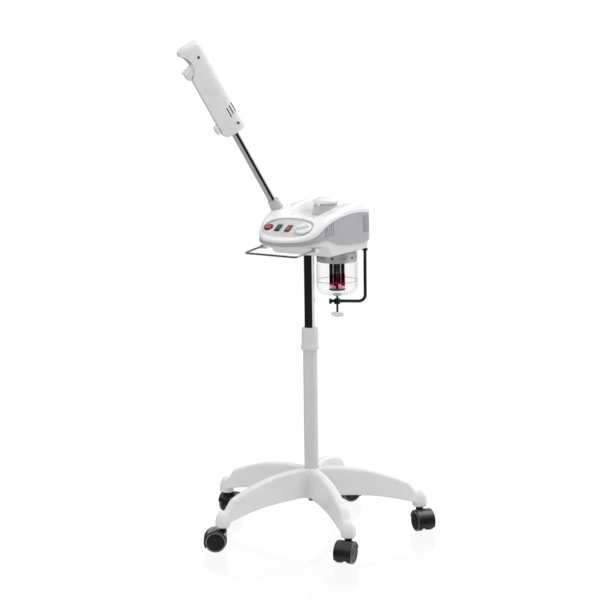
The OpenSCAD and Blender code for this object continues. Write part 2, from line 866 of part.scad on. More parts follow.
module steam_duct() {
  color("ivory")
    difference() {
      union() {
        duct_solid(duct_r, duct_r + 1.5);
        on_arm() translate([0, 0, duct_socket_s - 12]) cylinder(r = arm_r + 1.5, h = 22);
      }
      duct_solid(duct_r - duct_wall, duct_r - duct_wall + 1.5);
      on_arm() translate([0, 0, duct_socket_s - 10]) cylinder(r = arm_r - 2, h = 40);
      on_arm() translate([0, 0, -36]) cylinder(r = arm_r + run_gap, h = 40);
    }
}

// ---------- jar ----------

module jar_flange() {
  ring_h = jar_neck_h + gasket_t - 1;
  color([0.7, 0.71, 0.72])
    at_jar()
      translate([0, 0, flange_top_z - flange_plate_t - ring_h])
        difference() {
          cylinder(r = flange_r, h = ring_h + flange_plate_t);
          translate([0, 0, -1]) cylinder(r = jar_neck_r + 1, h = ring_h + 1);
          translate([filler_x, filler_y, 0]) cylinder(r = filler_tube_r - 2, h = 60);
          translate([steam_x, steam_y, 0]) cylinder(r = duct_r - duct_wall, h = 60);
          for (a = [0 : 60 : 359])
            rotate(a + 20) translate([flange_r, 0, ring_h - 6]) cube([3, 16, 3], center = true);
        }
}

module jar_gasket() {
  color([0.25, 0.25, 0.25])
    at_jar()
      translate([0, 0, flange_top_z - flange_plate_t - gasket_t])
        tube(jar_neck_r + 0.5, jar_neck_r - 7, gasket_t);
}

// Outline of half the jar, moved in by a wall
module jar_half(inset, mouth_rise) {
  r = jar_r - inset;
  round_r = jar_foot_round - inset;
  low = jar_bottom_z + inset;
  shoulder = jar_shoulder_z - inset;
  translate([0, low + round_r]) square([r, shoulder - low - round_r]);
  translate([0, low]) square([r - round_r, round_r + 1]);
  translate([r - round_r, low + round_r])
    intersection() {
      circle(r = round_r);
      translate([0, -round_r]) square(round_r);
    }
  translate([0, shoulder - 1]) square([jar_neck_r - inset, jar_neck_h + 1 + inset + mouth_rise]);
}

module jar() {
  color([0.85, 0.92, 0.95])
    at_jar()
      difference() {
        rotate_extrude() jar_half(0, 0);
        rotate_extrude() jar_half(jar_wall, 5);
      }
}

module heater() {
  plate_z = flange_top_z - flange_plate_t - 2;
  color([0.2, 0.2, 0.21])
    at_jar() {
      translate([0, 0, plate_z]) cylinder(r = heater_disc_r, h = 2);
      translate([0, 0, heater_disc_z]) cylinder(r = heater_disc_r, h = 3);
      for (a = [15 : 90 : 359])
        rotate(a)
          translate([heater_ring_r, 0, heater_disc_z + 1])
            cylinder(r = heater_rod_r, h = plate_z - heater_disc_z);
      translate([0, 0, heater_disc_z + 1]) cylinder(r = 3, h = plate_z - heater_disc_z);
    }
}

// ---------- bracket and clamp ----------

module at_bracket() {
  translate([bracket_x, bracket_y, 0]) rotate(bracket_angle + 180) children();
}

module bracket() {
  r = bracket_rod_d / 2;
  color([0.08, 0.08, 0.09])
    difference() {
      at_bracket() {
        translate([0, 0, bracket_bar_z + bracket_bend_r])
          cylinder(r = r, h = bracket_pivot_top_z - bracket_bar_z - bracket_bend_r);
        translate([bracket_bend_r, 0, bracket_bar_z + bracket_bend_r])
          rotate([90, 0, 180])
            rotate([0, 0, -90])
              rotate_extrude(angle = 90) translate([bracket_bend_r, 0]) circle(r = r);
        translate([bracket_bend_r, 0, bracket_bar_z])
          rotate([0, 90, 0]) cylinder(r = r, h = bracket_reach + bracket_tail - bracket_bend_r);
        translate([bracket_reach, 0, bracket_bar_z - bracket_boss_h / 2])
          cylinder(r = bracket_boss_r, h = bracket_boss_h);
        translate([bracket_reach + bracket_tail - 3, -6, bracket_bar_z - 6]) cube([6, 12, 12]);
        translate([0, 0, unit_z - 6]) cylinder(r = r + 3, h = 6 - free_gap);
        translate([0, 0, bracket_pivot_top_z - pivot_collar_t]) cylinder(r = r + 3, h = pivot_collar_t);
      }
      at_jar()
        translate([0, 0, bracket_bar_z - 20]) cylinder(r = clamp_screw_d / 2 + run_gap, h = 40);
    }
}

module pressure_pad() {
  color([0.2, 0.2, 0.2])
    at_jar()
      difference() {
        translate([0, 0, pad_top_z - pad_t]) cylinder(r = pad_r, h = pad_t);
        translate([0, 0, pad_top_z - pad_t - 1])
          cylinder(r = clamp_screw_d / 2 + run_gap, h = pad_t - 1.5);
      }
}

module clamp_screw() {
  color("silver")
    at_jar()
      translate([0, 0, pad_top_z - 2.5 - run_gap - clamp_screw_len])
        cylinder(r = clamp_screw_d / 2, h = clamp_screw_len);
}

module wing_knob() {
  knob_z = pad_top_z - 2.5 - clamp_screw_len - 4;
  color("gainsboro")
    at_jar()
      difference() {
        union() {
          translate([0, 0, knob_z]) cylinder(r = knob_hub_r, h = knob_h);
          for (side = [-1, 1])
            translate([side * (knob_half_w - 7) - 7, -3, knob_z + 1]) cube([14, 6, knob_h - 3]);
          translate([-12, -3, knob_z + 1]) cube([24, 6, knob_h - 5]);
        }
        translate([0, 0, knob_z + 4 - run_gap]) cylinder(r = clamp_screw_d / 2 + seat_gap, h = knob_h);
      }
}

// ---------- steam arm ----------

module arm_collar() {
  color("gainsboro")
    on_arm()
      difference() {
        translate([0, 0, boss_top_s + free_gap])
          rotate_extrude()
            polygon([
              [0, 0], [collar_base_r, 0], [collar_base_r, 3], [collar_lip_r, collar_len - 1],
              [collar_lip_r - 1, collar_len], [0, collar_len]
            ]);
        cylinder(r = arm_r + seat_gap, h = boss_top_s + collar_len + 10);
      }
}

module collar_seals() {
  color([0.15, 0.15, 0.15])
    on_arm() {
      translate([0, 0, boss_top_s + free_gap + collar_len]) tube(collar_lip_r - 0.6, arm_r + seat_gap, 1.6);
      translate([0, 0, head_start - 1.6]) tube(arm_r + 1.6, arm_r + seat_gap, 1.6);
    }
}

module arm_tube() {
  color("lightgray")
    on_arm() translate([0, 0, -34]) tube(arm_r, arm_r - 1.5, head_start + 34 + 60);
}

// Body of the steam head: a round-ended barrel with two flattened sides
module head_solid(inset) {
  r = head_r - inset;
  round_r = head_round - inset;
  len = head_len - 2 * inset;
  intersection() {
    translate([0, 0, head_start + inset])
      rotate_extrude() {
        translate([0, round_r]) square([r, len - 2 * round_r]);
        square([r - round_r, len]);
        for (z = [round_r, len - round_r])
          translate([r - round_r, z]) circle(r = round_r);
      }
    translate([-head_half_w + inset, -head_d, head_start - 1])
      cube([2 * (head_half_w - inset), 2 * head_d, head_len + 2]);
  }
}

module head_scoop(grow) {
  translate([-head_d, scoop_y, scoop_s])
    rotate([0, 90, 0]) cylinder(r = scoop_r + grow, h = 2 * head_d);
}

module along_nozzle() {
  translate([0, 0, nozzle_s]) rotate([90 + nozzle_tilt, 0, 0]) children();
}

module head_shell(side) {
  slot_count = 3;
  on_arm()
    difference() {
      intersection() {
        head_solid(0);
        translate([side > 0 ? 0 : -head_d, -head_d, 0]) cube([head_d, 2 * head_d, 1000]);
      }
      difference() {
        head_solid(head_wall);
        head_scoop(head_wall);
      }
      head_scoop(0);
      translate([0, 0, head_start - 1]) cylinder(r = arm_r + seat_gap, h = 20);
      along_nozzle() cylinder(r = nozzle_r + run_gap, h = head_d);
      along_nozzle() cylinder(r = nozzle_collar_r + free_gap, h = nozzle_root + nozzle_collar_t + free_gap);
      translate([0, -head_r + 5, grip_s]) rotate([90, 0, 0]) cylinder(r = 4 + seat_gap, h = 30);
      for (i = [0 : slot_count - 1])
        translate([side > 0 ? head_half_w - 10 : -head_half_w - 10, 6 + 8 * i, head_start + 42 + 3 * i])
          cube([20, 2.6, 24]);
      for (i = [0, 1])
        translate([0, head_screw_y[i], head_screw_s[i]])
          rotate([0, 90, 0])
            translate([0, 0, -head_half_w - 1]) cylinder(r = 1.6, h = 2 * head_half_w + 2);
    }
}

module head_shell_right() {
  color("white") head_shell(1);
}

module head_shell_left() {
  color("white") head_shell(-1);
}

module head_screws() {
  color("dimgray")
    on_arm()
      for (i = [0, 1])
        translate([0, head_screw_y[i], head_screw_s[i]])
          rotate([0, 90, 0]) {
            translate([0, 0, head_half_w + seat_gap]) cylinder(r = 3, h = 1.2);
            translate([0, 0, -head_half_w + 1]) cylinder(r = 1.5, h = 2 * head_half_w);
          }
}

// Room round the nozzle's retaining collar, grown by the wall that closes the duct beside it
module nozzle_room(grow) {
  along_nozzle()
    translate([0, 0, nozzle_root - free_gap - grow])
      tube(nozzle_collar_r + free_gap + grow, nozzle_bore_d / 2 + 1.5 - grow, head_d);
}

// Inner steam elbow from the end of the arm tube to the nozzle seat
module head_duct() {
  duct_start = head_start + 45;
  color("ivory")
    on_arm()
      difference() {
        union() {
          translate([0, 0, duct_start]) cylinder(r = arm_r + 1.5, h = nozzle_s - duct_start);
          translate([0, 0, nozzle_s]) sphere(r = arm_r + 2.5);
          along_nozzle() cylinder(r = nozzle_bore_d / 2 + 1.5, h = nozzle_root + nozzle_socket - 1);
        }
        nozzle_room(0);
        translate([0, 0, duct_start - 1]) cylinder(r = arm_r + seat_gap, h = 16);
        difference() {
          union() {
            translate([0, 0, duct_start]) cylinder(r = arm_r - 1, h = nozzle_s - duct_start);
            translate([0, 0, nozzle_s]) sphere(r = arm_r);
          }
          nozzle_room(1.2);
        }
        along_nozzle() cylinder(r = nozzle_bore_d / 2, h = head_d);
      }
}

module ozone_lamp() {
  color("lightblue")
    on_arm()
      translate([0, 19.5, head_start + 60]) {
        cylinder(r = 4, h = 60);
        translate([0, 0, -10]) cylinder(r = 5.2, h = 12);
        translate([-2, 0, -8]) cube([4, head_r - head_wall - 19.5 - 0.1, 8]);
      }
}

module nozzle() {
  color("white")
    on_arm()
      along_nozzle()
        difference() {
          union() {
            translate([0, 0, nozzle_root]) cylinder(r = nozzle_r, h = nozzle_reach - nozzle_root);
            translate([0, 0, nozzle_root]) cylinder(r = nozzle_collar_r, h = nozzle_collar_t);
          }
          translate([0, 0, nozzle_root - 1]) cylinder(r = nozzle_bore_d / 2, h = nozzle_reach);
          translate([0, 0, nozzle_root - 1])
            cylinder(r = nozzle_bore_d / 2 + 1.5 + free_gap, h = nozzle_socket + 1);
        }
}

module grip() {
  color("white")
    on_arm()
      translate([0, 0, grip_s])
        rotate([90, 0, 0]) {
          translate([0, 0, head_r + 0.5])
            rotate_extrude() {
              square([grip_r, 7]);
              square([grip_r - 3, 10]);
              translate([grip_r - 3, 7]) circle(r = 3);
            }
          translate([0, 0, head_r - 4]) cylinder(r = 4, h = 6);
        }
}

base_star();
caster_fork(0);  // caster_1_fork
caster_fork(1);  // caster_2_fork
caster_fork(2);  // caster_3_fork
caster_fork(3);  // caster_4_fork
caster_fork(4);  // caster_5_fork
caster_wheel(0, 1);  // caster_1_wheel_a
caster_wheel(1, 1);  // caster_2_wheel_a
caster_wheel(2, 1);  // caster_3_wheel_a
caster_wheel(3, 1);  // caster_4_wheel_a
caster_wheel(4, 1);  // caster_5_wheel_a
caster_wheel(0, -1);  // caster_1_wheel_b
caster_wheel(1, -1);  // caster_2_wheel_b
caster_wheel(2, -1);  // caster_3_wheel_b
caster_wheel(3, -1);  // caster_4_wheel_b
caster_wheel(4, -1);  // caster_5_wheel_b
outer_column();
base_bolt();
guide_bush();
lock_collar();
inner_column();
column_socket();
socket_screws();
bottom_pan();
side_body();
top_cover();
cover_screws();
control_panel();
switch_housings();
power_rocker();
ozone_rocker();
steam_rocker();
timer_body();
timer_knob();
filler_neck();
filler_cap();
cap_gasket();
towel_bar();
towel_bar_clips();
power_inlet();
circuit_board();
steam_duct();
jar_flange();
jar_gasket();
jar();
heater();
bracket();
pressure_pad();
clamp_screw();
wing_knob();
arm_collar();
collar_seals();
arm_tube();
head_shell_right();
head_shell_left();
head_screws();
head_duct();
ozone_lamp();
nozzle();
grip();
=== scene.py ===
import json
import math

import bpy
from mathutils import Matrix, Vector


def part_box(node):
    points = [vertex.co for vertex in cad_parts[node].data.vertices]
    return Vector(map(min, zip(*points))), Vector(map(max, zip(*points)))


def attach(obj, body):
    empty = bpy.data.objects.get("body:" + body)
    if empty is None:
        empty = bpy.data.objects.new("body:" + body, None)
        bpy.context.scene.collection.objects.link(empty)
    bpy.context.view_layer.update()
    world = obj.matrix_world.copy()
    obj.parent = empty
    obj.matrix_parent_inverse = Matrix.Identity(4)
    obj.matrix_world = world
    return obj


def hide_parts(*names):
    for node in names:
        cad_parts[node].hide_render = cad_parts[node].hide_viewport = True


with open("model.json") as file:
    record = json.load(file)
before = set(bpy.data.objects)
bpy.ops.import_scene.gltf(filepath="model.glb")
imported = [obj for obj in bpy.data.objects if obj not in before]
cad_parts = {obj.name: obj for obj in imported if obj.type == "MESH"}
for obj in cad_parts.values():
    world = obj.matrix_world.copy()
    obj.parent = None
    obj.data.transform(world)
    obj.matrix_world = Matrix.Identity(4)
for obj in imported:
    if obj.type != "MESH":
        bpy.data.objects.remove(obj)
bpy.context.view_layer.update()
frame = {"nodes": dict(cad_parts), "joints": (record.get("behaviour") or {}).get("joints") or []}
joint = {j["name"]: j for j in frame["joints"]}
mm = 0.001

# ---------- Studio ----------
# The machine stands on a pale, slightly glossy floor. Light falls from above and from the rear right, and
# the room on the camera's side is dark, which is what puts the dark streaks into the polished tubes.

view_azimuth, view_distance, view_height = math.radians(33.5), 4.571, 1.3884
view_down, view_roll, view_yaw = (math.radians(a) for a in (10.0766, -0.782, -0.2857))

ahead = Vector((-math.sin(view_azimuth), math.cos(view_azimuth), 0))
across = Vector((math.cos(view_azimuth), math.sin(view_azimuth), 0))
level = ahead * math.cos(view_yaw) + across * math.sin(view_yaw)
side = across * math.cos(view_yaw) - ahead * math.sin(view_yaw)
sight = level * math.cos(view_down) - Vector((0, 0, math.sin(view_down)))
rise = level * math.sin(view_down) + Vector((0, 0, math.cos(view_down)))
right = side * math.cos(view_roll) + rise * math.sin(view_roll)
above = rise * math.cos(view_roll) - side * math.sin(view_roll)

camera = bpy.data.objects.new("camera", bpy.data.cameras.new("camera"))
camera.data.lens, camera.data.sensor_width = 115.27, 36.0
camera.data.clip_end = 200
camera.matrix_world = Matrix.Translation(
    -ahead * view_distance + Vector((0, 0, view_height))
) @ Matrix((right, above, -sight)).transposed().to_4x4()
bpy.context.scene.collection.objects.link(camera)
bpy.context.scene.camera = camera
bpy.context.scene.view_settings.view_transform = "Standard"


class Wire:
    """A value in a node tree. Sums and products of wires add their Math nodes."""

    def __init__(self, tree, socket):
        self.tree, self.socket = tree, socket

    def math(self, operation, *values):
        made = self.tree.nodes.new("ShaderNodeMath")
        made.operation = operation
        for spot, value in zip(made.inputs, values):
            feed(self.tree, spot, value)
        return Wire(self.tree, made.outputs[0])

    def __add__(self, other):
        return self.math("ADD", self, other)

    def __sub__(self, other):
        return self.math("SUBTRACT", self, other)

    def __rsub__(self, other):
        return self.math("SUBTRACT", other, self)

    def __mul__(self, other):
        return self.math("MULTIPLY", self, other)

    def __pow__(self, other):
        return self.math("POWER", self, other)

    __radd__, __rmul__ = __add__, __mul__

    def ramp(self, low, high):
        """0 below low, 1 above high, and a smooth step between them."""
        made = self.tree.nodes.new("ShaderNodeMapRange")
        made.interpolation_type = "SMOOTHSTEP"
        for name, value in (("Value", self), ("From Min", low), ("From Max", high)):
            feed(self.tree, made.inputs[name], value)
        return Wire(self.tree, made.outputs[0])


def feed(tree, spot, value):
    """Links a wire to a socket, or sets the socket to a plain value."""
    if isinstance(value, Wire):
        tree.links.new(value.socket, spot)
    elif isinstance(value, tuple) and len(value) == 3 and spot.type == "RGBA":
        spot.default_value = (*value, 1)
    else:
        spot.default_value = value


def node(tree, kind, settings=None, out=0, **values):
    """Adds any other node: settings are set first, then its sockets by name."""
    made = tree.nodes.new("ShaderNode" + kind)
    for key, value in (settings or {}).items():
        setattr(made, key, value)
    for key, value in values.items():
        wanted = key.replace("_", " ")
        spot = next(s for s in made.inputs if s.name == wanted and s.enabled)
        feed(tree, spot, value)
    return Wire(tree, made.outputs[out])


def blend_colours(tree, factor, first, second):
    made = tree.nodes.new("ShaderNodeMix")
    made.data_type = "RGBA"
    spots = [s for s in made.inputs if s.enabled]
    for spot, value in zip(spots, (factor, first, second)):
        feed(tree, spot, value)
    return Wire(tree, next(s for s in made.outputs if s.enabled))


world = bpy.data.worlds.new("studio")
world.use_nodes = True
bpy.context.scene.world = world
sky = world.node_tree
sky.nodes.clear()
parts_of_way = sky.nodes.new("ShaderNodeSeparateXYZ")
sky.links.new(sky.nodes.new("ShaderNodeTexCoord").outputs["Generated"], parts_of_way.inputs[0])
way_x, way_y, way_z = (Wire(sky, s) for s in parts_of_way.outputs)


def toward(degrees):
    """How far a direction points to one side of the room, counted round from the camera."""
    way = across * math.sin(math.radians(degrees)) - ahead * math.cos(math.radians(degrees))
    return way_x * way.x + way_y * way.y


to_bright, to_lamp = toward(120), toward(-50)
ceiling = way_z.ramp(0.42, 0.75)
behind = (way_x * ahead.x + way_y * ahead.y).ramp(0.3, 0.5)
off_floor = way_z.ramp(0.03, 0.06) * (1 - way_z.ramp(0.34, 0.38)) * behind
under = (0 - way_z).ramp(0.3, 0.5)
in_gloss = ceiling * 0.85 + to_bright.ramp(0.47, 0.6) * 0.82 + off_floor * 0.95 + under * 0.4 + 0.015
in_matt = (way_z.ramp(-0.1, 0.9) * 0.74 + to_bright.ramp(-0.4, 0.9) * 0.3 + to_lamp.ramp(-0.2, 1.0) * 0.42
           + 0.17)
rays = sky.nodes.new("ShaderNodeLightPath")
seen = Wire(sky, rays.outputs["Is Camera Ray"])
shiny = Wire(sky, rays.outputs["Is Glossy Ray"])
strength = seen * 1.0 + (1 - seen) * (shiny * in_gloss + (1 - shiny) * in_matt)
backdrop = node(sky, "Background", Color=(1.0, 1.0, 1.0), Strength=strength)
sky.links.new(backdrop.socket, sky.nodes.new("ShaderNodeOutputWorld").inputs[0])

key = bpy.data.lights.new("softbox", "AREA")
key.shape, key.size, key.size_y, key.energy = "RECTANGLE", 2.4, 1.6, 30
lamp = bpy.data.objects.new("softbox", key)
lamp.location = (1.2, 1.4, 3.2)
lamp.rotation_euler = (Vector((0.2, 0.1, 0.6)) - lamp.location).to_track_quat("-Z", "Y").to_euler()
bpy.context.scene.collection.objects.link(lamp)


def fresh():
    """Nothing is selected, so that the next operator acts on the new piece alone."""
    bpy.ops.object.select_all(action="DESELECT")


fresh()
bpy.ops.mesh.primitive_circle_add(vertices=128, radius=12, fill_type="NGON", location=(0, 0, 0))
floor = bpy.context.object
floor.name = "floor"
bpy.ops.object.mode_set(mode="EDIT")
bpy.ops.mesh.inset(thickness=4)
bpy.ops.object.mode_set(mode="OBJECT")


class Finish:
    """A material in the making: its nodes read the piece's own Object coordinates, in metres."""

    def __init__(self, name, colour=(0.8, 0.8, 0.8), rough=0.4, **set_values):
        self.material = bpy.data.materials.new(name)
        self.material.use_nodes = True
        self.tree = self.material.node_tree
        self.shader = self.tree.nodes["Principled BSDF"]
        self.spot = Wire(self.tree, self.tree.nodes.new("ShaderNodeTexCoord").outputs["Object"])
        self.put("Base Color", colour)
        self.put("Roughness", rough)
        for key, value in set_values.items():
            self.put(key.replace("_", " "), value)

    def put(self, socket, value):
        feed(self.tree, self.shader.inputs[socket], value)

    def noise(self, scale, detail=3.0, stretch=(1, 1, 1)):
        place = node(self.tree, "Mapping", {"vector_type": "POINT"}, Vector=self.spot, Scale=stretch)
        return node(self.tree, "TexNoise", Vector=place, Scale=scale, Detail=detail, Roughness=0.55)

    def grit(self, height, distance, strength=1.0, under=None):
        sockets = {"Height": height, "Distance": distance, "Strength": strength}
        if under is not None:
            sockets["Normal"] = under
        return node(self.tree, "Bump", **sockets)

    def mix(self, factor, first, second):
        return blend_colours(self.tree, factor, first, second)

    def tone(self, factor, first, second):
        self.put("Base Color", self.mix(factor, first, second))

    def relief(self, height, distance, strength):
        self.put("Normal", self.grit(height, distance, strength))


floor_finish = Finish("pale_floor", (0.75, 0.75, 0.755), 0.5)
tree = floor_finish.tree
kinds = tree.nodes.new("ShaderNodeLightPath").outputs
mirror = node(tree, "BsdfGlossy", Color=(1.0, 1.0, 1.0), Roughness=floor_finish.noise(3) * 0.02 + 0.07)
lit = node(tree, "Emission", Color=(1.0, 1.0, 1.0), Strength=1.02)
seen_floor = node(tree, "MixShader", Fac=0.08)
tree.links.new(lit.socket, seen_floor.socket.node.inputs[1])
tree.links.new(mirror.socket, seen_floor.socket.node.inputs[2])
unseen = node(tree, "MixShader", Fac=Wire(tree, kinds["Is Glossy Ray"]))
tree.links.new(floor_finish.shader.outputs[0], unseen.socket.node.inputs[1])
tree.links.new(node(tree, "BsdfTransparent", Color=(1.0, 1.0, 1.0)).socket, unseen.socket.node.inputs[2])
both = node(tree, "MixShader", Fac=Wire(tree, kinds["Is Camera Ray"]))
tree.links.new(unseen.socket, both.socket.node.inputs[1])
tree.links.new(seen_floor.socket, both.socket.node.inputs[2])
tree.links.new(both.socket, next(n for n in tree.nodes if n.type == "OUTPUT_MATERIAL").inputs[0])
floor.data.materials.append(floor_finish.material)


def moulded(name, light, dark, rough, peel, coat=0.0):
    """Injection-moulded plastic: cloudy tone, hazy gloss, orange peel, and faint scuffs."""
    made = Finish(name, light, rough, Coat_Roughness=0.08, Coat_Weight=coat)
    cloud = made.noise(14, 2).ramp(0.35, 0.7)
    scuff = made.noise(160, 5, (1, 1, 0.18)).ramp(0.64, 0.72) * made.noise(9, 2).ramp(0.5, 0.62)
    made.tone(cloud * 0.5 + scuff * 0.25, light, dark)
    made.put("Roughness", made.noise(60, 3) * 0.12 + (rough - 0.06) + scuff * 0.15)
    skin = made.grit(made.noise(420, 2), 0.00006 * peel, 0.5)
    made.put("Normal", made.grit(made.noise(2600, 1), 0.00002 * peel, 0.35, skin))
    return made.material


def shape_in_edit(piece):
    fresh()
    piece.select_set(True)
    bpy.context.view_layer.objects.active = piece
    bpy.ops.object.mode_set(mode="EDIT")
    bpy.ops.mesh.select_all(action="SELECT")


def back_to_object():
    bpy.ops.object.mode_set(mode="OBJECT")


def turned(outline, place=Matrix(), steps=96, arc=360.0, closed=False):
    """A piece turned on a lathe: outline holds (radius, height) in mm, from one end to the other."""
    fresh()
    bpy.ops.mesh.primitive_plane_add(size=0.001)
    piece = bpy.context.object
    bpy.ops.object.mode_set(mode="EDIT")
    bpy.ops.mesh.merge(type="CENTER")
    points = [Vector((r * mm, 0, z * mm)) for r, z in outline]
    bpy.ops.transform.translate(value=points[0])
    for before, after in zip(points, points[1:] + points[:1] * closed):
        bpy.ops.mesh.extrude_region_move(TRANSFORM_OT_translate={"value": after - before})
    bpy.ops.mesh.select_all(action="SELECT")
    bpy.ops.mesh.spin(steps=steps, angle=math.radians(arc), center=(0, 0, 0), axis=(0, 0, 1))
    bpy.ops.mesh.select_all(action="SELECT")
    bpy.ops.mesh.remove_doubles(threshold=0.000005)
    bpy.ops.mesh.normals_make_consistent(inside=False)
    back_to_object()
    piece.data.transform(place)
    return piece


def eased(points, reach, steps=5):
    """The outline with each inner corner rounded off over the given reach."""
    made = [points[0]]
    for before, corner, after in zip(points, points[1:], points[2:]):
        b, c, a = Vector(before), Vector(corner), Vector(after)
        near = min(reach, (b - c).length * 0.45, (a - c).length * 0.45)
        start, end = c + (b - c).normalized() * near, c + (a - c).normalized() * near
        for k in range(steps + 1):
            t = k / steps
            made.append(tuple(start * (1 - t) ** 2 + c * 2 * t * (1 - t) + end * t * t))
    return made + [points[-1]]


def use(piece, kind, **settings):
    """Adds a modifier and applies it."""
    fresh()
    piece.select_set(True)
    bpy.context.view_layer.objects.active = piece
    added = piece.modifiers.new(kind.lower(), kind)
    for key, value in settings.items():
        setattr(added, key, value)
    bpy.ops.object.modifier_apply(modifier=added.name)


def cut(piece, tool, operation="DIFFERENCE"):
    use(piece, "BOOLEAN", operation=operation, object=tool, solver="EXACT")
    bpy.data.objects.remove(tool)


def joined(first, *others):
    fresh()
    for piece in (first, *others):
        piece.select_set(True)
    bpy.context.view_layer.objects.active = first
    bpy.ops.object.join()
    return first


def block(size, place, edge=0.0, steps=3):
    """A block with rounded edges, from its size in mm and the place of its middle."""
    fresh()
    bpy.ops.mesh.primitive_cube_add(size=mm)
    piece = bpy.context.object
    piece.data.transform(place @ Matrix.Diagonal((*size, 1)))
    if edge:
        use(piece, "BEVEL", width=edge * mm, segments=steps, limit_method="ANGLE", use_clamp_overlap=True)
    return piece


def smooth(piece, degrees=35):
    fresh()
    piece.select_set(True)
    bpy.context.view_layer.objects.active = piece
    bpy.ops.object.shade_smooth_by_angle(angle=math.radians(degrees))


def fit(piece, name, body, slot, *nodes, degrees=35):
    """Names a finished piece, hangs it on the body it rides on and hides the CAD nodes it stands for. The slot argument
    is not used.
    """
    piece.name = piece.data.name = name
    smooth(piece, degrees)
    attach(piece, body)
    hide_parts(*nodes)
    return piece


def paint(piece, *materials):
    piece.data.materials.clear()
    for material in materials:
        piece.data.materials.append(material)
    return piece


def keep(material, *nodes):
    """A CAD node whose shape is right stays and takes its finish."""
    for name in nodes:
        paint(frame["nodes"][name], material)


def shift(x, y, z):
    return Matrix.Translation((x * mm, y * mm, z * mm))


def turn(degrees, axis):
    return Matrix.Rotation(math.radians(degrees), 4, axis)


def heights(name):
    """The bottom and the top of a CAD node in mm."""
    low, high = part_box(name)
    return low.z / mm, high.z / mm


def loop(points, reach):
    """A closed outline with every corner but the first eased."""
    return eased(points, reach) + points[:1]


# ---------- Star base ----------
# One hollow nylon moulding: five arched arms with a thin crest, a ring round the column's foot and a
# bell-shaped knuckle over each caster stem. The skin is satin white.

base_white = moulded("base_white", (0.80, 0.805, 0.81), (0.74, 0.745, 0.755), 0.34, 1.0)
crown_z = 157.0


def arm_top(r):
    return crown_z - 0.0012 * max(0.0, r - 50) ** 2 - 3.0 * max(0.0, 1 - r / 40)


def arm_under(r):
    return 90 - 0.0009 * max(0.0, r - 100) ** 2


def arm_shell(angle, reach):
    """One arm: a sheet bent over the crest, open below, with its wall."""
    along, around = 44, 22
    fresh()
    bpy.ops.mesh.primitive_grid_add(x_subdivisions=along, y_subdivisions=around, size=2)
    piece = bpy.context.object
    for v in piece.data.vertices:
        r = 19 + (reach - 19) * (v.co.x + 1) / 2
        t = v.co.y
        top, under = arm_top(r), arm_under(r)
        top -= (top - 86) * max(0.0, (r - reach + 24) / 24) ** 1.6
        height = 1 - abs(t) ** 2.6
        z = under + (top - under) * height
        foot = 17 - 10 * (under - 50) / 112
        lean = foot - 5.2 - (foot - 7.6) * min(1, height * 1.04) ** 0.8
        edge = math.copysign(1 - (1 - min(1, abs(t) * 3.2)) ** 2, t) if t else 0
        v.co = (r * mm, edge * (lean + 5.2) * mm, z * mm)
    use(piece, "SOLIDIFY", thickness=4 * mm, offset=1)
    piece.data.transform(Matrix.Rotation(angle, 4, "Z"))
    return piece


swivels = [joint[f"caster_{i}_swivel"]["pos_m"] for i in range(1, 6)]
knuckle = [(10.8, 63), (10.8, 57.6), (15, 56.4), (17.4, 58.4), (17.9, 66), (17, 76), (14.8, 84), (11, 91), (6, 96),
           (0, 98)]
star = turned(
    loop([(17.4, 86), (28, 86), (31, 92), (29, 120), (26.5, 148), (20.5, 151), (20.5, 160), (17.4, 160)], 3))
for place in swivels:
    stem = Vector(place)
    reach = stem.xy.length / mm
    arm = arm_shell(math.atan2(stem.y, stem.x), reach - 9)
    bell = turned(eased([(0, 63)] + knuckle, 2), Matrix.Translation((stem.x, stem.y, 0)), 48)
    star = joined(star, arm, bell)
use(star, "REMESH", mode="VOXEL", voxel_size=2.0 * mm)
use(star, "SMOOTH", factor=0.5, iterations=7)
fit(paint(star, base_white), "star_base", "stand", "white_plastic", "base_star", degrees=60)

# ---------- Casters ----------
# Twin-wheel furniture casters. A glossy black hood covers the wheels from above, each wheel has a soft
# grey tread edge round a dark disc, and a steel stem goes up into the knuckle.

hood_black = moulded("caster_black", (0.012, 0.012, 0.013), (0.022, 0.022, 0.024), 0.26, 0.8, 0.3)
wheel_black = moulded("wheel_black", (0.014, 0.014, 0.015), (0.03, 0.03, 0.03), 0.42, 1.2)
tread = Finish("tread_grey", (0.17, 0.17, 0.175), 0.6)
rubbed = tread.noise(90, 4).ramp(0.4, 0.7)
tread.tone(rubbed, (0.2, 0.2, 0.205), (0.11, 0.11, 0.115))
tread.put("Roughness", rubbed * 0.2 + 0.5)
tread.relief(tread.noise(700, 3), 0.00006, 0.6)

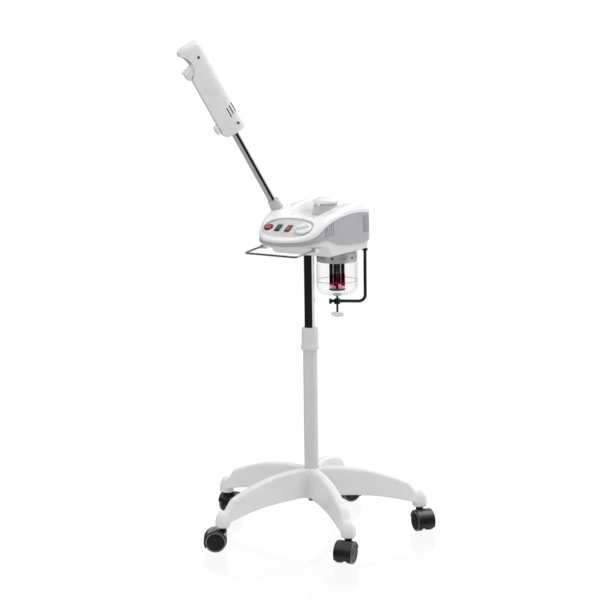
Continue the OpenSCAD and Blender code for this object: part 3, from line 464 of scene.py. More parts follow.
wheel_r = joint["caster_1_roll_a"]["pos_m"][2] / mm
for i in range(1, 6):
    stem = Vector(joint[f"caster_{i}_swivel"]["pos_m"])
    axle = Vector(joint[f"caster_{i}_roll_a"]["pos_m"])
    trail = Vector((axle.x - stem.x, axle.y - stem.y, 0)).normalized()
    out = Vector(joint[f"caster_{i}_roll_a"]["axis"]).normalized()
    standing = Matrix((trail, Vector((0, 0, 1)), out)).transposed().to_4x4()
    standing.translation = axle
    hood = turned(
        eased([(25.9, -21.6), (26.6, -22), (28.2, -20.6), (28.4, 0), (28.2, 20.6), (26.6, 22), (25.9, 21.6)], 1.2)
        + [(25.9, 0)], turn(168, "Z"), 64, 198, closed=True)
    shape_in_edit(hood)
    bpy.ops.mesh.select_all(action="DESELECT")
    bpy.ops.mesh.select_mode(type="EDGE")
    bpy.ops.mesh.select_non_manifold(extend=False)
    bpy.ops.mesh.edge_face_add()
    bpy.ops.mesh.select_mode(type="VERT")
    back_to_object()
    web = turned(eased([(0, -5.4), (26.4, -5.4), (27.2, -4.4), (27.2, 4.4), (26.4, 5.4), (0, 5.4)], 0.8), steps=64)
    shape_in_edit(web)
    bpy.ops.mesh.bisect(plane_co=(0, -14 * mm, 0), plane_no=(0, 1, 0), use_fill=True, clear_inner=True)
    back_to_object()
    axle_bar = turned([(0, -18.2), (3.6, -18.2), (4, -17.8), (4, 17.8), (3.6, 18.2), (0, 18.2)], steps=32)
    hood = joined(hood, web, axle_bar)
    hood.data.transform(standing)
    post = turned(
        eased([(0, 44), (9.4, 44), (9, 52), (8.6, 61), (5.5, 61.6), (5.5, 86), (4.8, 88), (0, 88)], 0.6),
        Matrix.Translation((stem.x, stem.y, 0)), 48)
    fork = joined(hood, post)
    fit(paint(fork, hood_black), f"caster_fork_{i}", f"caster_{i}", "caster_black", f"caster_{i}_fork")
    for letter, way in (("a", 1), ("b", -1)):
        rim = turned(
            [(4.1, 13.6)] + eased([(4.1, 6.6), (9, 6.6), (9, 8), (21, 8), (21, 6.6), (23.6, 6.6), (wheel_r, 8),
            (wheel_r, 15.5), (wheel_r, 19.8), (23.6, 21.2), (21.2, 21.3), (20.6, 19.6), (19.6, 19.6),
            (18.6, 20.6), (8.6, 21.1), (7.8, 20.3), (6.6, 20.3), (5.8, 21.6), (0, 22)], 0.7, 3), steps=72)
        rim.data.transform(standing @ (turn(180, "X") if way < 0 else Matrix()))
        rim = paint(rim, wheel_black, tread.material)
        for face in rim.data.polygons:
            offset = (face.center - axle).dot(out) * way / mm
            radius = ((face.center - axle) - out * (face.center - axle).dot(out)).length / mm
            face.material_index = int(radius > 20.9 and offset > 14)
        fit(rim, f"caster_wheel_{i}_{letter}", f"caster_{i}_{letter}", "wheel_black", f"caster_{i}_wheel_{letter}")

# ---------- Column ----------
# A powder-coated steel tube stands in the base. A tapered lock collar on its top holds the polished
# chrome tube, which carries the head unit and slides up and down.

column_paint = Finish("column_paint", (0.66, 0.665, 0.675), 0.38, Coat_Weight=0.25, Coat_Roughness=0.2)
dust = column_paint.noise(25, 4).ramp(0.45, 0.8)
column_paint.tone(dust * 0.6, (0.68, 0.685, 0.695), (0.6, 0.6, 0.615))
column_paint.put("Roughness", dust * 0.12 + 0.34)
column_paint.relief(column_paint.noise(1500, 2), 0.00004, 0.6)
collar_white = moulded("collar_white", (0.72, 0.725, 0.735), (0.66, 0.665, 0.68), 0.36, 1.0)
chrome = Finish("chrome_tube", (0.78, 0.785, 0.80), 0.07, Metallic=1.0)
wiped = chrome.noise(30, 4, (1, 1, 0.25)).ramp(0.4, 0.75)
chrome.tone(wiped * 0.5, (0.80, 0.805, 0.82), (0.70, 0.705, 0.72))
chrome.put("Roughness", wiped * 0.06 + 0.045)
chrome.relief(chrome.noise(1200, 2, (1, 1, 0.05)), 0.000004, 0.4)
black_plastic = moulded("black_plastic", (0.02, 0.02, 0.021), (0.035, 0.035, 0.036), 0.5, 1.2)

foot, tip = heights("outer_column")
tube = turned(
    eased([(14.8, foot + 6), (14.8, foot), (17, foot), (17, tip), (15, tip), (15, foot + 6), (14.8, foot + 6)], 0.5),
    steps=128)
fit(paint(tube, column_paint.material), "column_tube", "stand", "column_white", "outer_column")

foot, tip = heights("lock_collar")
ring = turned(
    loop([(17.2, foot), (20.6, foot), (21.8, foot + 1.6), (21.8, foot + 9), (20.4, foot + 11.4), (19.4, tip - 5),
          (18.6, tip - 1), (16.6, tip), (13.7, tip), (13.7, tip - 8.6), (17.2, tip - 8.7)], 1.1), steps=128)
fit(paint(ring, collar_white), "lock_ring", "lock_ring", "white_plastic", "lock_collar")

foot, tip = heights("inner_column")
tube = turned(loop([(11, foot), (12.5, foot), (12.5, tip), (11, tip)], 0.4), steps=128)
fit(paint(tube, chrome.material), "lift_tube", "lift_tube", "chrome_tube", "inner_column")
keep(black_plastic, "guide_bush")

# ---------- Column socket ----------
# A moulded socket under the tray takes the top of the chrome tube, held by two black set screws.

base, top = heights("column_socket")
socket = turned(
    eased([(12.6, base), (19.4, base), (20, base + 1), (20, base + 5), (31, base + 5.2), (31.8, base + 8.6),
           (22, base + 9.4), (20, top - 1), (19, top), (0, top)], 0.7)
    + [(0, top - 5), (12.6, top - 5.2), (12.6, base)], steps=96)
fit(paint(socket, base_white), "column_socket_cup", "head_unit", "white_plastic", "column_socket")
keep(black_plastic, "socket_screws")

# ---------- Head unit shells ----------
# Three thin mouldings share one plan: a half-round nose, straight sides and a square rear. A grey vented
# side wall stands on a white tray, and a gloss white cover closes it with two raised bands and a valley.

unit_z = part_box("bottom_pan")[0].z / mm
nose_y, half_w, rear_y, corner_r = -50.0, 90.0, 150.0, 25.0
cover_edge = [(-142, 47), (-120, 50), (-95, 57.5), (-61, 79), (-30, 89), (2, 95), (40, 98.5), (66, 99),
              (110, 96), (152, 86)]
band_top = [(-142, 52.5), (-121, 56), (-88, 74.5), (-55, 93.5), (-40, 99), (-3, 105), (40, 113.5), (75, 117.5),
            (115, 117.5), (140, 112), (152, 108)]
valley = [(-142, 52.5), (-121, 56), (-88, 74.5), (-57, 91.5), (-45, 93), (-20, 90), (20, 87), (90, 86.5), (118, 88),
          (136, 99), (146, 103), (152, 103)]
tray_edge = [(-142, 35), (-95, 40), (-60, 45.5), (-35, 41), (-20, 35), (10, 28), (43, 23.5), (104, 20.5), (152, 25)]


def along(profile, y):
    """The height of a side-view profile at y, on a smooth curve through its points."""
    n = len(profile)
    if y <= profile[0][0]:
        return profile[0][1]
    for i in range(n - 1):
        (y0, z0), (y1, z1) = profile[i], profile[i + 1]
        if y <= y1:
            before, after = profile[max(i - 1, 0)], profile[min(i + 2, n - 1)]
            m0 = (z1 - before[1]) / (y1 - before[0])
            m1 = (after[1] - z0) / (after[0] - y0)
            h, t = y1 - y0, (y - y0) / (y1 - y0)
            return (z0 * (1 + 2 * t) * (1 - t) ** 2 + m0 * h * t * (1 - t) ** 2
                    + z1 * t * t * (3 - 2 * t) + m1 * h * t * t * (t - 1))
    return profile[-1][1]


def step(t):
    t = min(1.0, max(0.0, t))
    return t * t * (3 - 2 * t)


def plan(inset):
    """The plan's outline moved in by inset, always with the same number of points, from the right front."""
    w, rear = half_w - inset, rear_y - inset
    r = max(corner_r - inset, 0.4)
    made = [(w * math.cos(a), nose_y + w * math.sin(a)) for a in (-math.pi * k / 56 for k in range(57))]
    run = rear - r - nose_y
    made += [(-w, nose_y + run * k / 44) for k in range(1, 45)]
    corner = [math.pi / 2 * k / 10 for k in range(11)]
    made += [(-w + r - r * math.cos(a), rear - r + r * math.sin(a)) for a in corner[1:]]
    made += [(-(w - r) + 2 * (w - r) * k / 26, rear) for k in range(1, 26)]
    made += [(w - r + r * math.sin(a), rear - r + r * math.cos(a)) for a in corner]
    made += [(w, rear - r - run * k / 44) for k in range(1, 44)]
    return made


def sheet_of(rings, capped):
    """A sheet through rings of (x, y, z) points in mm, with its last ring closed across when capped."""
    count = len(rings[0])
    fresh()
    bpy.ops.mesh.primitive_grid_add(x_subdivisions=count, y_subdivisions=len(rings) - 1, size=1)
    piece = bpy.context.object
    for i, v in enumerate(piece.data.vertices):
        ring, spot = divmod(i, count + 1)
        v.co = Vector(rings[ring][spot % count]) * mm
    shape_in_edit(piece)
    bpy.ops.mesh.remove_doubles(threshold=0.00001)
    if capped:
        bpy.ops.mesh.select_all(action="DESELECT")
        back_to_object()
        end = {tuple(round(c * mm, 6) for c in p) for p in rings[-1]}
        for v in piece.data.vertices:
            v.select = tuple(round(c, 6) for c in v.co) in end
        bpy.ops.object.mode_set(mode="EDIT")
        bpy.ops.mesh.select_mode(type="VERT")
        bpy.ops.mesh.fill(use_beauty=True)
        bpy.ops.mesh.select_all(action="SELECT")
    bpy.ops.mesh.normals_make_consistent(inside=False)
    back_to_object()
    return piece


def cover_height(x, y, depth):
    """Top of the cover at a point, with depth counted in from the outline."""
    band = step((abs(x) - 37) / 20)
    crest, floor_z = along(band_top, y), along(valley, y)
    tall = floor_z + (crest - floor_z) * band
    tall += 9.0 * math.exp(-(((x + 70) / 23) ** 2 + ((y + 20) / 25) ** 2) ** 1.4)
    edge = along(cover_edge, y)
    reach = 15 + 13 * step((y + 60) / 60) - 15 * step((y - 128) / 18)
    t = min(1.0, depth / reach)
    return edge + (tall - edge) * math.sqrt(1 - (1 - t) ** 2.4)


depths = [0, 0.15, 0.5, 1, 1.7, 2.6, 3.8, 5.2, 7, 9, 11.5, 14, 17, 20, 23, 26, 29, 32, 35, 38, 41, 44, 47, 50, 53, 56,
          60, 64, 68, 72, 76, 80, 84, 87, 89.4]
rings = [[(x, y, unit_z + along(cover_edge, y) - 3.5) for x, y in plan(0.6)],
         [(x, y, unit_z + along(cover_edge, y) - 3.6) for x, y in plan(0.1)]]
rings += [[(x, y, unit_z + cover_height(x, y, d)) for x, y in plan(d)] for d in depths]
cover = sheet_of(rings, True)
use(cover, "SOLIDIFY", thickness=2.8 * mm, offset=-1)

pitch = math.radians(30.6)
on_panel = shift(0, -88, unit_z + 70.6) @ Matrix.Rotation(pitch, 4, "X")


def oval(grow, foot, top, place, steps=120, edge=0.0):
    """An oval plate in the plane of the panel: a cylinder pressed to a rounded oval."""
    fresh()
    bpy.ops.mesh.primitive_cylinder_add(vertices=steps, radius=1, depth=1)
    piece = bpy.context.object
    for v in piece.data.vertices:
        a = math.atan2(v.co.y, v.co.x)
        c, s = math.cos(a), math.sin(a)
        x = math.copysign(abs(c) ** 0.86, c) * (69 + grow)
        y = math.copysign(abs(s) ** 0.86, s) * (38 + grow)
        v.co = (x * mm, y * mm, (foot if v.co.z < 0 else top) * mm)
    piece.data.transform(place)
    if edge:
        use(piece, "BEVEL", width=edge * mm, segments=3, limit_method="ANGLE", angle_limit=math.radians(50))
    return piece


arm_spot = joint["arm_turn"]
arm_axis = Vector(arm_spot["axis"]).normalized()
lean = math.atan2(-arm_axis.x, -arm_axis.y)
on_arm = (Matrix.Translation(Vector(arm_spot["pos_m"])) @ Matrix.Rotation(-lean, 4, "Z")
          @ Matrix.Rotation(math.acos(arm_axis.z), 4, "X"))
cap_low, cap_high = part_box("filler_cap")
cap_mid = (cap_low + cap_high) / 2 / mm
at_filler = shift(0, 77, 0)
cut(cover, oval(0.12, -14, 30, on_panel))
cut(cover, turned([(0, -60), (10.4, -60), (10.4, 40), (0, 40)], on_arm, 48))
cut(cover, turned([(0, unit_z + 60), (15, unit_z + 60), (15, unit_z + 130), (0, unit_z + 130)],
                  shift(cap_mid.x, 77, 0), 48))
boss = turned(
    [(10.3, -16)]
    + loop([(10.3, -16), (27, -16), (22.5, -5), (19.2, 1), (18.2, 6), (18, 9.2), (17.2, 10), (10.3, 10)], 1.6),
    on_arm, 72)
cover = joined(cover, boss)
cover_white = moulded("cover_white", (0.86, 0.865, 0.87), (0.82, 0.825, 0.83), 0.22, 0.5, 0.4)
fit(paint(cover, cover_white), "unit_cover", "head_unit", "cover_white", "top_cover", degrees=40)

levels = 16
rings = []
for k in range(levels + 1):
    t = k / levels
    ring = []
    for (x0, y0), (_, y1) in zip(plan(1.5 - 1.3 * math.sin(math.pi * t) - 1.2 * (1 - t) ** 4), plan(0)):
        low_z, high_z = along(tray_edge, y1), along(cover_edge, y1) - 2.4
        ring.append((x0, y0, unit_z + low_z + (high_z - low_z) * t))
    rings.append(ring)
walls = sheet_of(rings, False)
use(walls, "SOLIDIFY", thickness=3 * mm, offset=-1)
vent_heights = (24, 27, 29, 31, 35)
for hand in (-1, 1):
    for k, tall in enumerate(vent_heights):
        cut(walls, block((16, 2.6, tall), shift(hand * 90, -61 + 8 * k, unit_z + 52 + tall / 2), 1.1, 2))
cut(walls, block((28, 14, 20), shift(0, 148, unit_z + 50)))
cut(walls, block((2.4, 25, 42), shift(90.6, 118, unit_z + 64), 0.6, 2))
plate = block((1.2, 23, 40), shift(89.9, 118, unit_z + 64), 0.5, 3)

side_grey = Finish("side_grey", (0.42, 0.425, 0.44), 0.36, Coat_Weight=0.15, Coat_Roughness=0.25)
worn = side_grey.noise(18, 3).ramp(0.35, 0.75)
side_grey.tone(worn * 0.5, (0.44, 0.445, 0.46), (0.385, 0.39, 0.405))
side_grey.put("Roughness", side_grey.noise(80, 3) * 0.14 + 0.3)
side_grey.relief(side_grey.noise(1700, 2), 0.00005, 0.55)
plate_grey = moulded("plate_grey", (0.34, 0.345, 0.355), (0.30, 0.305, 0.315), 0.45, 0.8)
fit(joined(paint(walls, side_grey.material), paint(plate, plate_grey)), "unit_walls", "head_unit",
    "grey_plastic", "side_body")


def tray_floor(y):
    return 28 * (1 - step((y + 52) / 26))


rings = [[(x, y, unit_z + along(tray_edge, y) + 5) for x, y in plan(5)]]
rings.append([(x, y, unit_z + max(along(tray_edge, y) - 1, tray_floor(y) + 6)) for x, y in plan(5)])
for k in range(1, 8):
    a = math.pi / 2 * k / 7
    inset = 5 + 9 * (1 - math.cos(a))
    rings.append([(x, y, unit_z + tray_floor(y) + min(9, along(tray_edge, y) - tray_floor(y)) * (1 - math.sin(a)))
                  for x, y in plan(inset)])
for inset in (18, 22, 27, 32, 38, 44, 50, 56, 62, 68, 74, 80, 85, 89):
    rings.append([(x, y, unit_z + tray_floor(y)) for x, y in plan(inset)])
tray = sheet_of(rings, True)
use(tray, "SOLIDIFY", thickness=2.5 * mm, offset=-1)
swing = joint["bracket_swing"]["pos_m"]
cut(tray, turned([(0, unit_z - 20), (20.2, unit_z - 20), (20.2, unit_z + 12), (0, unit_z + 12)]))
cut(tray, turned([(0, unit_z - 20), (4.4, unit_z - 20), (4.4, unit_z + 12), (0, unit_z + 12)],
                 Matrix.Translation((swing[0], swing[1], 0)), 32))
fit(paint(tray, base_white), "unit_tray", "head_unit", "white_plastic", "bottom_pan", degrees=40)
screw_steel = Finish("screw_steel", (0.5, 0.5, 0.51), 0.3, Metallic=1.0)
screw_steel.put("Roughness", screw_steel.noise(400, 3) * 0.25 + 0.18)
screw_steel.relief(screw_steel.noise(1500, 2, (1, 1, 0.2)), 0.00001, 0.5)
keep(screw_steel.material, "cover_screws", "base_bolt")
keep(black_plastic, "power_inlet")
keep(base_white, "towel_bar_clips")

# ---------- Control panel ----------
# A grey film-faced oval plate sits in a recess of the cover. It carries a round power switch, two square
# rockers with black bezels, and the clockwork timer's white bar knob inside a ring of scale marks.

power_x, ozone_x, steam_x, timer_x = -55, -26.5, 2, 45
at_power, at_timer = on_panel @ shift(power_x, 0, 0), on_panel @ shift(timer_x, 0, 0)
panel = oval(0, -2.5, 0, on_panel, edge=0.3)
for x in (ozone_x, steam_x):
    cut(panel, block((11.4, 21.4, 20), on_panel @ shift(x, 0, 0)))
cut(panel, turned([(0, -9), (10.2, -9), (10.2, 9), (0, 9)], at_power, 48))
marks = []
for k in range(13):
    a = math.radians(215 - 250 * k / 12)
    long = 3.6 if k % 3 == 0 else 2.0
    spot = at_timer @ shift(0, 0, 0.02) @ Matrix.Rotation(a, 4, "Z") @ shift(22.4 + long / 2, 0, 0)
    marks.append(block((long, 0.7, 0.16), spot))
for x in (ozone_x, steam_x, power_x):
    marks.append(block((9, 0.6, 0.16), on_panel @ shift(x, 19.5, 0.02)))
    marks.append(block((5, 0.6, 0.16), on_panel @ shift(x, -19.5, 0.02)))
marks = joined(*marks)

film = Finish("panel_film", (0.60, 0.61, 0.625), 0.3, Coat_Weight=0.3, Coat_Roughness=0.12)
fine = film.noise(1400, 2)
film.tone(film.noise(22, 3).ramp(0.3, 0.75), (0.63, 0.64, 0.655), (0.565, 0.575, 0.59))
film.put("Roughness", fine * 0.14 + 0.26)
film.relief(fine, 0.00003, 0.4)
ink = Finish("scale_ink", (0.14, 0.145, 0.155), 0.5)
ink.tone(ink.noise(500, 3).ramp(0.4, 0.7), (0.13, 0.135, 0.145), (0.2, 0.205, 0.215))
fit(joined(paint(panel, film.material), paint(marks, ink.material)), "panel_plate", "head_unit", "panel_grey",
    "control_panel")

bezels = turned(
    loop([(8.6, -8), (10, -8), (10, 0), (11.5, 0), (11.5, 1.4), (10.6, 2.4), (9.2, 2.4), (8.6, 1.6)], 0.6),
    at_power, 64)
for x in (ozone_x, steam_x):
    bezel = joined(block((14, 24, 2.4), on_panel @ shift(x, 0, 1.2), 0.9, 4),
                   block((11, 21, 17), on_panel @ shift(x, 0, -8), 0.4, 2))
    cut(bezel, block((8.2, 18.2, 16), on_panel @ shift(x, 0, 1), 0.3, 2))
    bezels = joined(bezels, bezel)
bezel_black = moulded("bezel_black", (0.015, 0.015, 0.016), (0.025, 0.025, 0.026), 0.2, 0.4, 0.3)
fit(paint(bezels, bezel_black), "switch_bezels", "head_unit", "dark_rocker", "switch_housings")


def rocker(length, width, place):
    """A rocker: a block whose face dips in the middle, with softened edges."""
    fresh()
    bpy.ops.mesh.primitive_cube_add(size=1)
    piece = bpy.context.object
    shape_in_edit(piece)
    bpy.ops.mesh.subdivide(number_cuts=9)
    back_to_object()
    for v in piece.data.vertices:
        x, y, z = v.co * 2
        face = 3.6 - 1.5 * (1 - abs(y) ** 1.3) + (1.2 * y if y > 0 else 0)
        v.co = (x * width / 2 * mm, y * length / 2 * mm, (face if z > 0.99 else (z + 1) / 2 * (face + 3) - 3) * mm)
    piece.data.transform(place)
    use(piece, "BEVEL", width=0.45 * mm, segments=3, limit_method="ANGLE", angle_limit=math.radians(50))
    return piece


red_lens = Finish("red_lens", (0.55, 0.03, 0.035), 0.16, Coat_Weight=0.6, Coat_Roughness=0.05)
glow = red_lens.noise(220, 2).ramp(0.3, 0.7)
red_lens.tone(glow, (0.62, 0.045, 0.045), (0.45, 0.02, 0.025))
red_lens.relief(red_lens.noise(900, 1), 0.00003, 0.4)
dark_lens = moulded("dark_lens", (0.10, 0.10, 0.105), (0.07, 0.07, 0.075), 0.22, 0.4, 0.4)
knob = rocker(16.4, 16.4, at_power)
cut(knob, turned([(0, -9), (7.8, -9), (7.8, 12), (0, 12)], at_power, 64), "INTERSECT")
fit(paint(knob, red_lens.material), "power_switch", "power_switch", "red_lens", "power_rocker")
fit(paint(rocker(16.6, 7.2, on_panel @ shift(ozone_x, 0, 0)), dark_lens), "ozone_switch", "ozone_switch",
    "dark_rocker", "ozone_rocker")
fit(paint(rocker(16.6, 7.2, on_panel @ shift(steam_x, 0, 0)), red_lens.material), "steam_switch", "steam_switch",
    "red_lens", "steam_rocker")

dial = turned(
    eased([(3.2, 0.8), (19, 0.8), (20, 1.6), (20, 5.2), (18.2, 6.9), (16.4, 7.3), (0, 7.6)], 0.8) + [(0, 6), (3.2, 6),
          (3.2, 0.8)], at_timer, 96)
grip_bar = block((31, 8.4, 8), at_timer @ shift(0, 0, 10) @ turn(24, "Z"), 2.6, 5)
pointer = block((5, 1.1, 0.5), at_timer @ shift(0, 0, 14) @ turn(24, "Z") @ shift(11.5, 0, 0), 0.2, 2)
dial_grey = moulded("dial_grey", (0.3, 0.3, 0.31), (0.25, 0.25, 0.26), 0.4, 0.8)
fit(joined(paint(dial, cover_white), paint(grip_bar, cover_white), paint(pointer, dial_grey)), "timer_bar_knob",
    "timer_dial", "cover_white", "timer_knob")
keep(dial_grey, "timer_body")

# ---------- Filler ----------
# A flared grey neck rises from the valley floor round the filling tube. A domed white cap with a small
# front tab plugs it, sealed by a rubber ring in a dark groove.

top = cap_low.z / mm + 4.5
neck = turned(
    eased([(7.2, unit_z), (9, unit_z), (9, unit_z + 82), (35.5, unit_z + 85), (33.6, unit_z + 89), (31.8, unit_z + 96),
           (30.6, top - 8), (30, top - 4), (28, top - 3.6), (28, top - 0.3), (24, top - 0.3), (24, top - 20),
           (7.2, top - 23)], 1.6) + [(7.2, unit_z)], at_filler, 128)
neck_grey = moulded("neck_grey", (0.56, 0.565, 0.58), (0.52, 0.525, 0.54), 0.3, 0.7, 0.2)
fit(paint(neck, neck_grey), "filler_collar", "head_unit", "panel_grey", "filler_neck")

lid = turned(
    [(0, top + 0.1)] + eased([(0, top + 0.1), (30.8, top + 0.1), (32, top + 1.4), (32.2, top + 5.4), (30, top + 8.6),
                              (27, top + 10.8), (24, top + 12), (22.6, top + 11.6), (21, top + 12.2),
                              (12, top + 15.2), (0, top + 16.2)], 1.8, 6), at_filler, 128)
plug = turned([(21, top + 0.3), (23.6, top + 0.3), (23.6, top - 11), (23, top - 12), (21, top - 12), (21, top + 0.3)],
              at_filler, 96)
tab = block((9, 3.4, 5.4), at_filler @ shift(0, -31.3, top - 1.4), 1.2, 4)
fit(paint(joined(lid, plug, tab), cover_white), "filler_lid", "filler_lid", "cover_white", "filler_cap")
# This black is the real rubber of the seals and gaskets, and it also colours the painted-shade sheet behind the head's
# vents and the painted-shade dots on the arm collar's lip.
seal_rubber_and_shade = moulded("seal_rubber_and_shade", (0.02, 0.02, 0.02), (0.035, 0.035, 0.035), 0.65, 1.5)
keep(seal_rubber_and_shade, "cap_gasket")
towel_steel = Finish("towel_steel", (0.28, 0.28, 0.29), 0.16, Metallic=1.0)
towel_steel.put("Roughness", towel_steel.noise(300, 3) * 0.12 + 0.1)
towel_steel.tone(towel_steel.noise(40, 3), (0.22, 0.22, 0.23), (0.36, 0.36, 0.37))
keep(towel_steel.material, "towel_bar")

# ---------- Jar group ----------
# A blown glass jar hangs by its neck in a turned metal ring with slots and screws, sealed by a gasket. The
# immersion heater stands in it on two dark rods. A red level line and a small red film mark the glass.

jar_low, jar_high = (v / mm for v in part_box("jar"))
jar_x, jar_y = (jar_low.x + jar_high.x) / 2, (jar_low.y + jar_high.y) / 2
foot_z, rim_z = jar_low.z, jar_high.z
glass_r, wall = (jar_high.x - jar_low.x) / 2, 3.0
at_jar = shift(jar_x, jar_y, 0)
ring_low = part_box("jar_flange")[0].z / mm

ring = turned(
    eased([(glass_r - 5.8, ring_low + 0.2), (glass_r - 1.2, ring_low), (glass_r - 1, ring_low + 14),
           (glass_r - 1, unit_z - 9), (glass_r - 3.4, unit_z - 8.6), (glass_r - 3.4, unit_z - 6.4),
           (glass_r - 1.2, unit_z - 6), (glass_r - 1.2, unit_z - 0.1), (0, unit_z - 0.1)], 1.1, 3)
    + [(0, unit_z - 8), (glass_r - 5.8, unit_z - 8), (glass_r - 5.8, ring_low + 0.2)], at_jar, 128)
for k in range(6):
    spoke = at_jar @ turn(20 + 60 * k, "Z")
    cut(ring, block((5, 16, 3.4), spoke @ shift(glass_r - 1, 0, ring_low + 12), 0.6, 2))
spoke_screws = [turned([(0, 1.3), (2.4, 1.3), (2.6, 0.2), (2.6, -1), (0, -1)],
                       at_jar @ turn(50 + 60 * k, "Z") @ shift(glass_r - 1, 0, ring_low + 12) @ turn(90, "Y"), 24)
                for k in range(6)]
ring_metal = Finish("ring_metal", (0.5, 0.5, 0.505), 0.34, Metallic=0.35)
lathe = ring_metal.noise(260, 3, (1, 1, 12))
ring_metal.tone(ring_metal.noise(30, 4).ramp(0.35, 0.7), (0.62, 0.62, 0.61), (0.5, 0.5, 0.495))
ring_metal.put("Roughness", lathe * 0.22 + 0.26)
ring_metal.relief(lathe, 0.00002, 0.5)
fit(joined(paint(ring, ring_metal.material), paint(joined(*spoke_screws), black_plastic)), "jar_ring", "head_unit",
    "flange_metal", "jar_flange", degrees=30)

heel, foot_round = 20, 20 - wall
outside = [(0, foot_z), (glass_r - heel, foot_z)]
outside += [(glass_r - heel + heel * math.sin(a), foot_z + heel - heel * math.cos(a))
            for a in (math.pi / 2 * k / 10 for k in range(1, 11))]
outside += eased([(glass_r, foot_z + heel + 2), (glass_r, rim_z - 22), (glass_r - 7, rim_z - 18),
                  (glass_r - 7, rim_z - 0.5)], 4)
inside = [(glass_r - 7 - wall, rim_z - 0.5)] + eased(
    [(glass_r - 7 - wall, rim_z - 0.6), (glass_r - 7 - wall, rim_z - 19), (glass_r - wall, rim_z - 24),
     (glass_r - wall, foot_z + heel + 2)], 4)
inside += [(glass_r - heel + foot_round * math.cos(a), foot_z + heel - foot_round * math.sin(a))
           for a in (math.pi / 2 * k / 10 for k in range(11))] + [(0, foot_z + wall)]
vessel = turned(outside + inside, at_jar, 144)


def clear(name, tint, edge, haze):
    """A clear body: straight through where it is seen square on, bright and dark at its rims."""
    made = Finish(name, tint, 0.05)
    rim = node(made.tree, "LayerWeight", Blend=0.32, out=1)
    sparkle = made.noise(25, 2) * 0.04 + 0.03
    through = node(made.tree, "BsdfTransparent", Color=made.mix(rim ** 4, tint, edge))
    gloss = node(made.tree, "BsdfGlossy", Color=(1.0, 1.0, 1.0), Roughness=sparkle)
    made.put("Roughness", sparkle)
    both = node(made.tree, "MixShader", Fac=rim ** 3 * 0.5 + haze)
    made.tree.links.new(through.socket, both.socket.node.inputs[1])
    made.tree.links.new(gloss.socket, both.socket.node.inputs[2])
    ends = next(n for n in made.tree.nodes if n.type == "OUTPUT_MATERIAL")
    made.tree.links.new(both.socket, ends.inputs[0])
    return made.material


jar_clear = clear("jar_clear", (0.985, 0.99, 0.99), (0.62, 0.65, 0.66), 0.02)
fit(paint(vessel, jar_clear), "jar_vessel", "head_unit", "jar_glass", "jar", degrees=40)

line_z = foot_z + 33
line = turned([(glass_r + 0.05, line_z - 0.6), (glass_r + 0.3, line_z - 0.5), (glass_r + 0.3, line_z + 0.5),
               (glass_r + 0.05, line_z + 0.6), (glass_r + 0.05, line_z - 0.6)], at_jar, 144)
fit(paint(line, red_lens.material), "level_line", "head_unit", "red_lens")
film = turned([(glass_r + 0.04, line_z - 9), (glass_r + 0.22, line_z - 9), (glass_r + 0.22, line_z + 24),
               (glass_r + 0.04, line_z + 24), (glass_r + 0.04, line_z - 9)], turn(0, "Z"), 40, 44)
film.data.transform(at_jar @ turn(math.degrees(view_azimuth) - 90 + 22, "Z"))
red_film = clear("red_film", (0.94, 0.45, 0.6), (0.85, 0.3, 0.45), 0.02)
fit(paint(film, red_film), "level_film", "head_unit", "red_lens")

hot_foot = heights("heater")[0]
rods = []
for k in range(4):
    place = at_jar @ turn(15 + 90 * k, "Z") @ shift(15, 0, 0)
    rod = eased([(0, foot_z + 21), (4.6, foot_z + 21), (4.6, unit_z - 10), (0, unit_z - 10)], 1.2)
    rods.append(turned(rod, place, 32))
    z = rim_z - 18
    rods.append(turned([(4, z), (5.8, z), (5.8, z + 6), (4, z + 6), (4, z)], place, 24))
rods.append(turned(eased([(0, hot_foot), (19, hot_foot), (20, hot_foot + 1), (20, hot_foot + 3.4), (19, hot_foot + 4.4),
                          (0, hot_foot + 4.4)], 0.8), at_jar, 64))
rods.append(turned([(0, hot_foot + 2), (3, hot_foot + 2), (3, unit_z - 10), (0, unit_z - 10)], at_jar, 24))
burnt = Finish("burnt_steel", (0.06, 0.06, 0.065), 0.3, Metallic=0.85)
scale = burnt.noise(90, 5, (1, 1, 0.4)).ramp(0.4, 0.65)
burnt.tone(scale, (0.035, 0.035, 0.04), (0.16, 0.155, 0.15))
burnt.put("Roughness", scale * 0.3 + 0.2)
fit(paint(joined(*rods), burnt.material), "heater_rods", "head_unit", "heater_metal", "heater")
keep(seal_rubber_and_shade, "jar_gasket")

# ---------- Jar bracket and clamp ----------
# A bent steel rod, dipped in gloss black, swings under the jar. Its boss carries a threaded clamp screw with
# a rubber pad above and a moulded light grey wing knob below.

bracket_gloss = Finish("bracket_gloss", (0.012, 0.012, 0.013), 0.18, Coat_Weight=0.5, Coat_Roughness=0.08)
drips = bracket_gloss.noise(45, 3, (1, 1, 0.5))
bracket_gloss.tone(drips, (0.009, 0.009, 0.01), (0.022, 0.022, 0.024))
bracket_gloss.put("Roughness", drips * 0.16 + 0.12)
bracket_gloss.relief(bracket_gloss.noise(260, 2), 0.00005, 0.5)
keep(bracket_gloss.material, "bracket")

foot, tip = heights("pressure_pad")
pad = eased([(0, foot), (9.6, foot), (11, foot + 1.4), (11, tip - 0.8), (10.2, tip), (0, tip)], 0.7)
pad = turned(pad, at_jar, 64)
pad_rubber = moulded("pad_rubber", (0.62, 0.62, 0.61), (0.55, 0.55, 0.54), 0.5, 1.2)
fit(paint(pad, pad_rubber), "clamp_pad_disc", "clamp_pad", "seal_black", "pressure_pad")

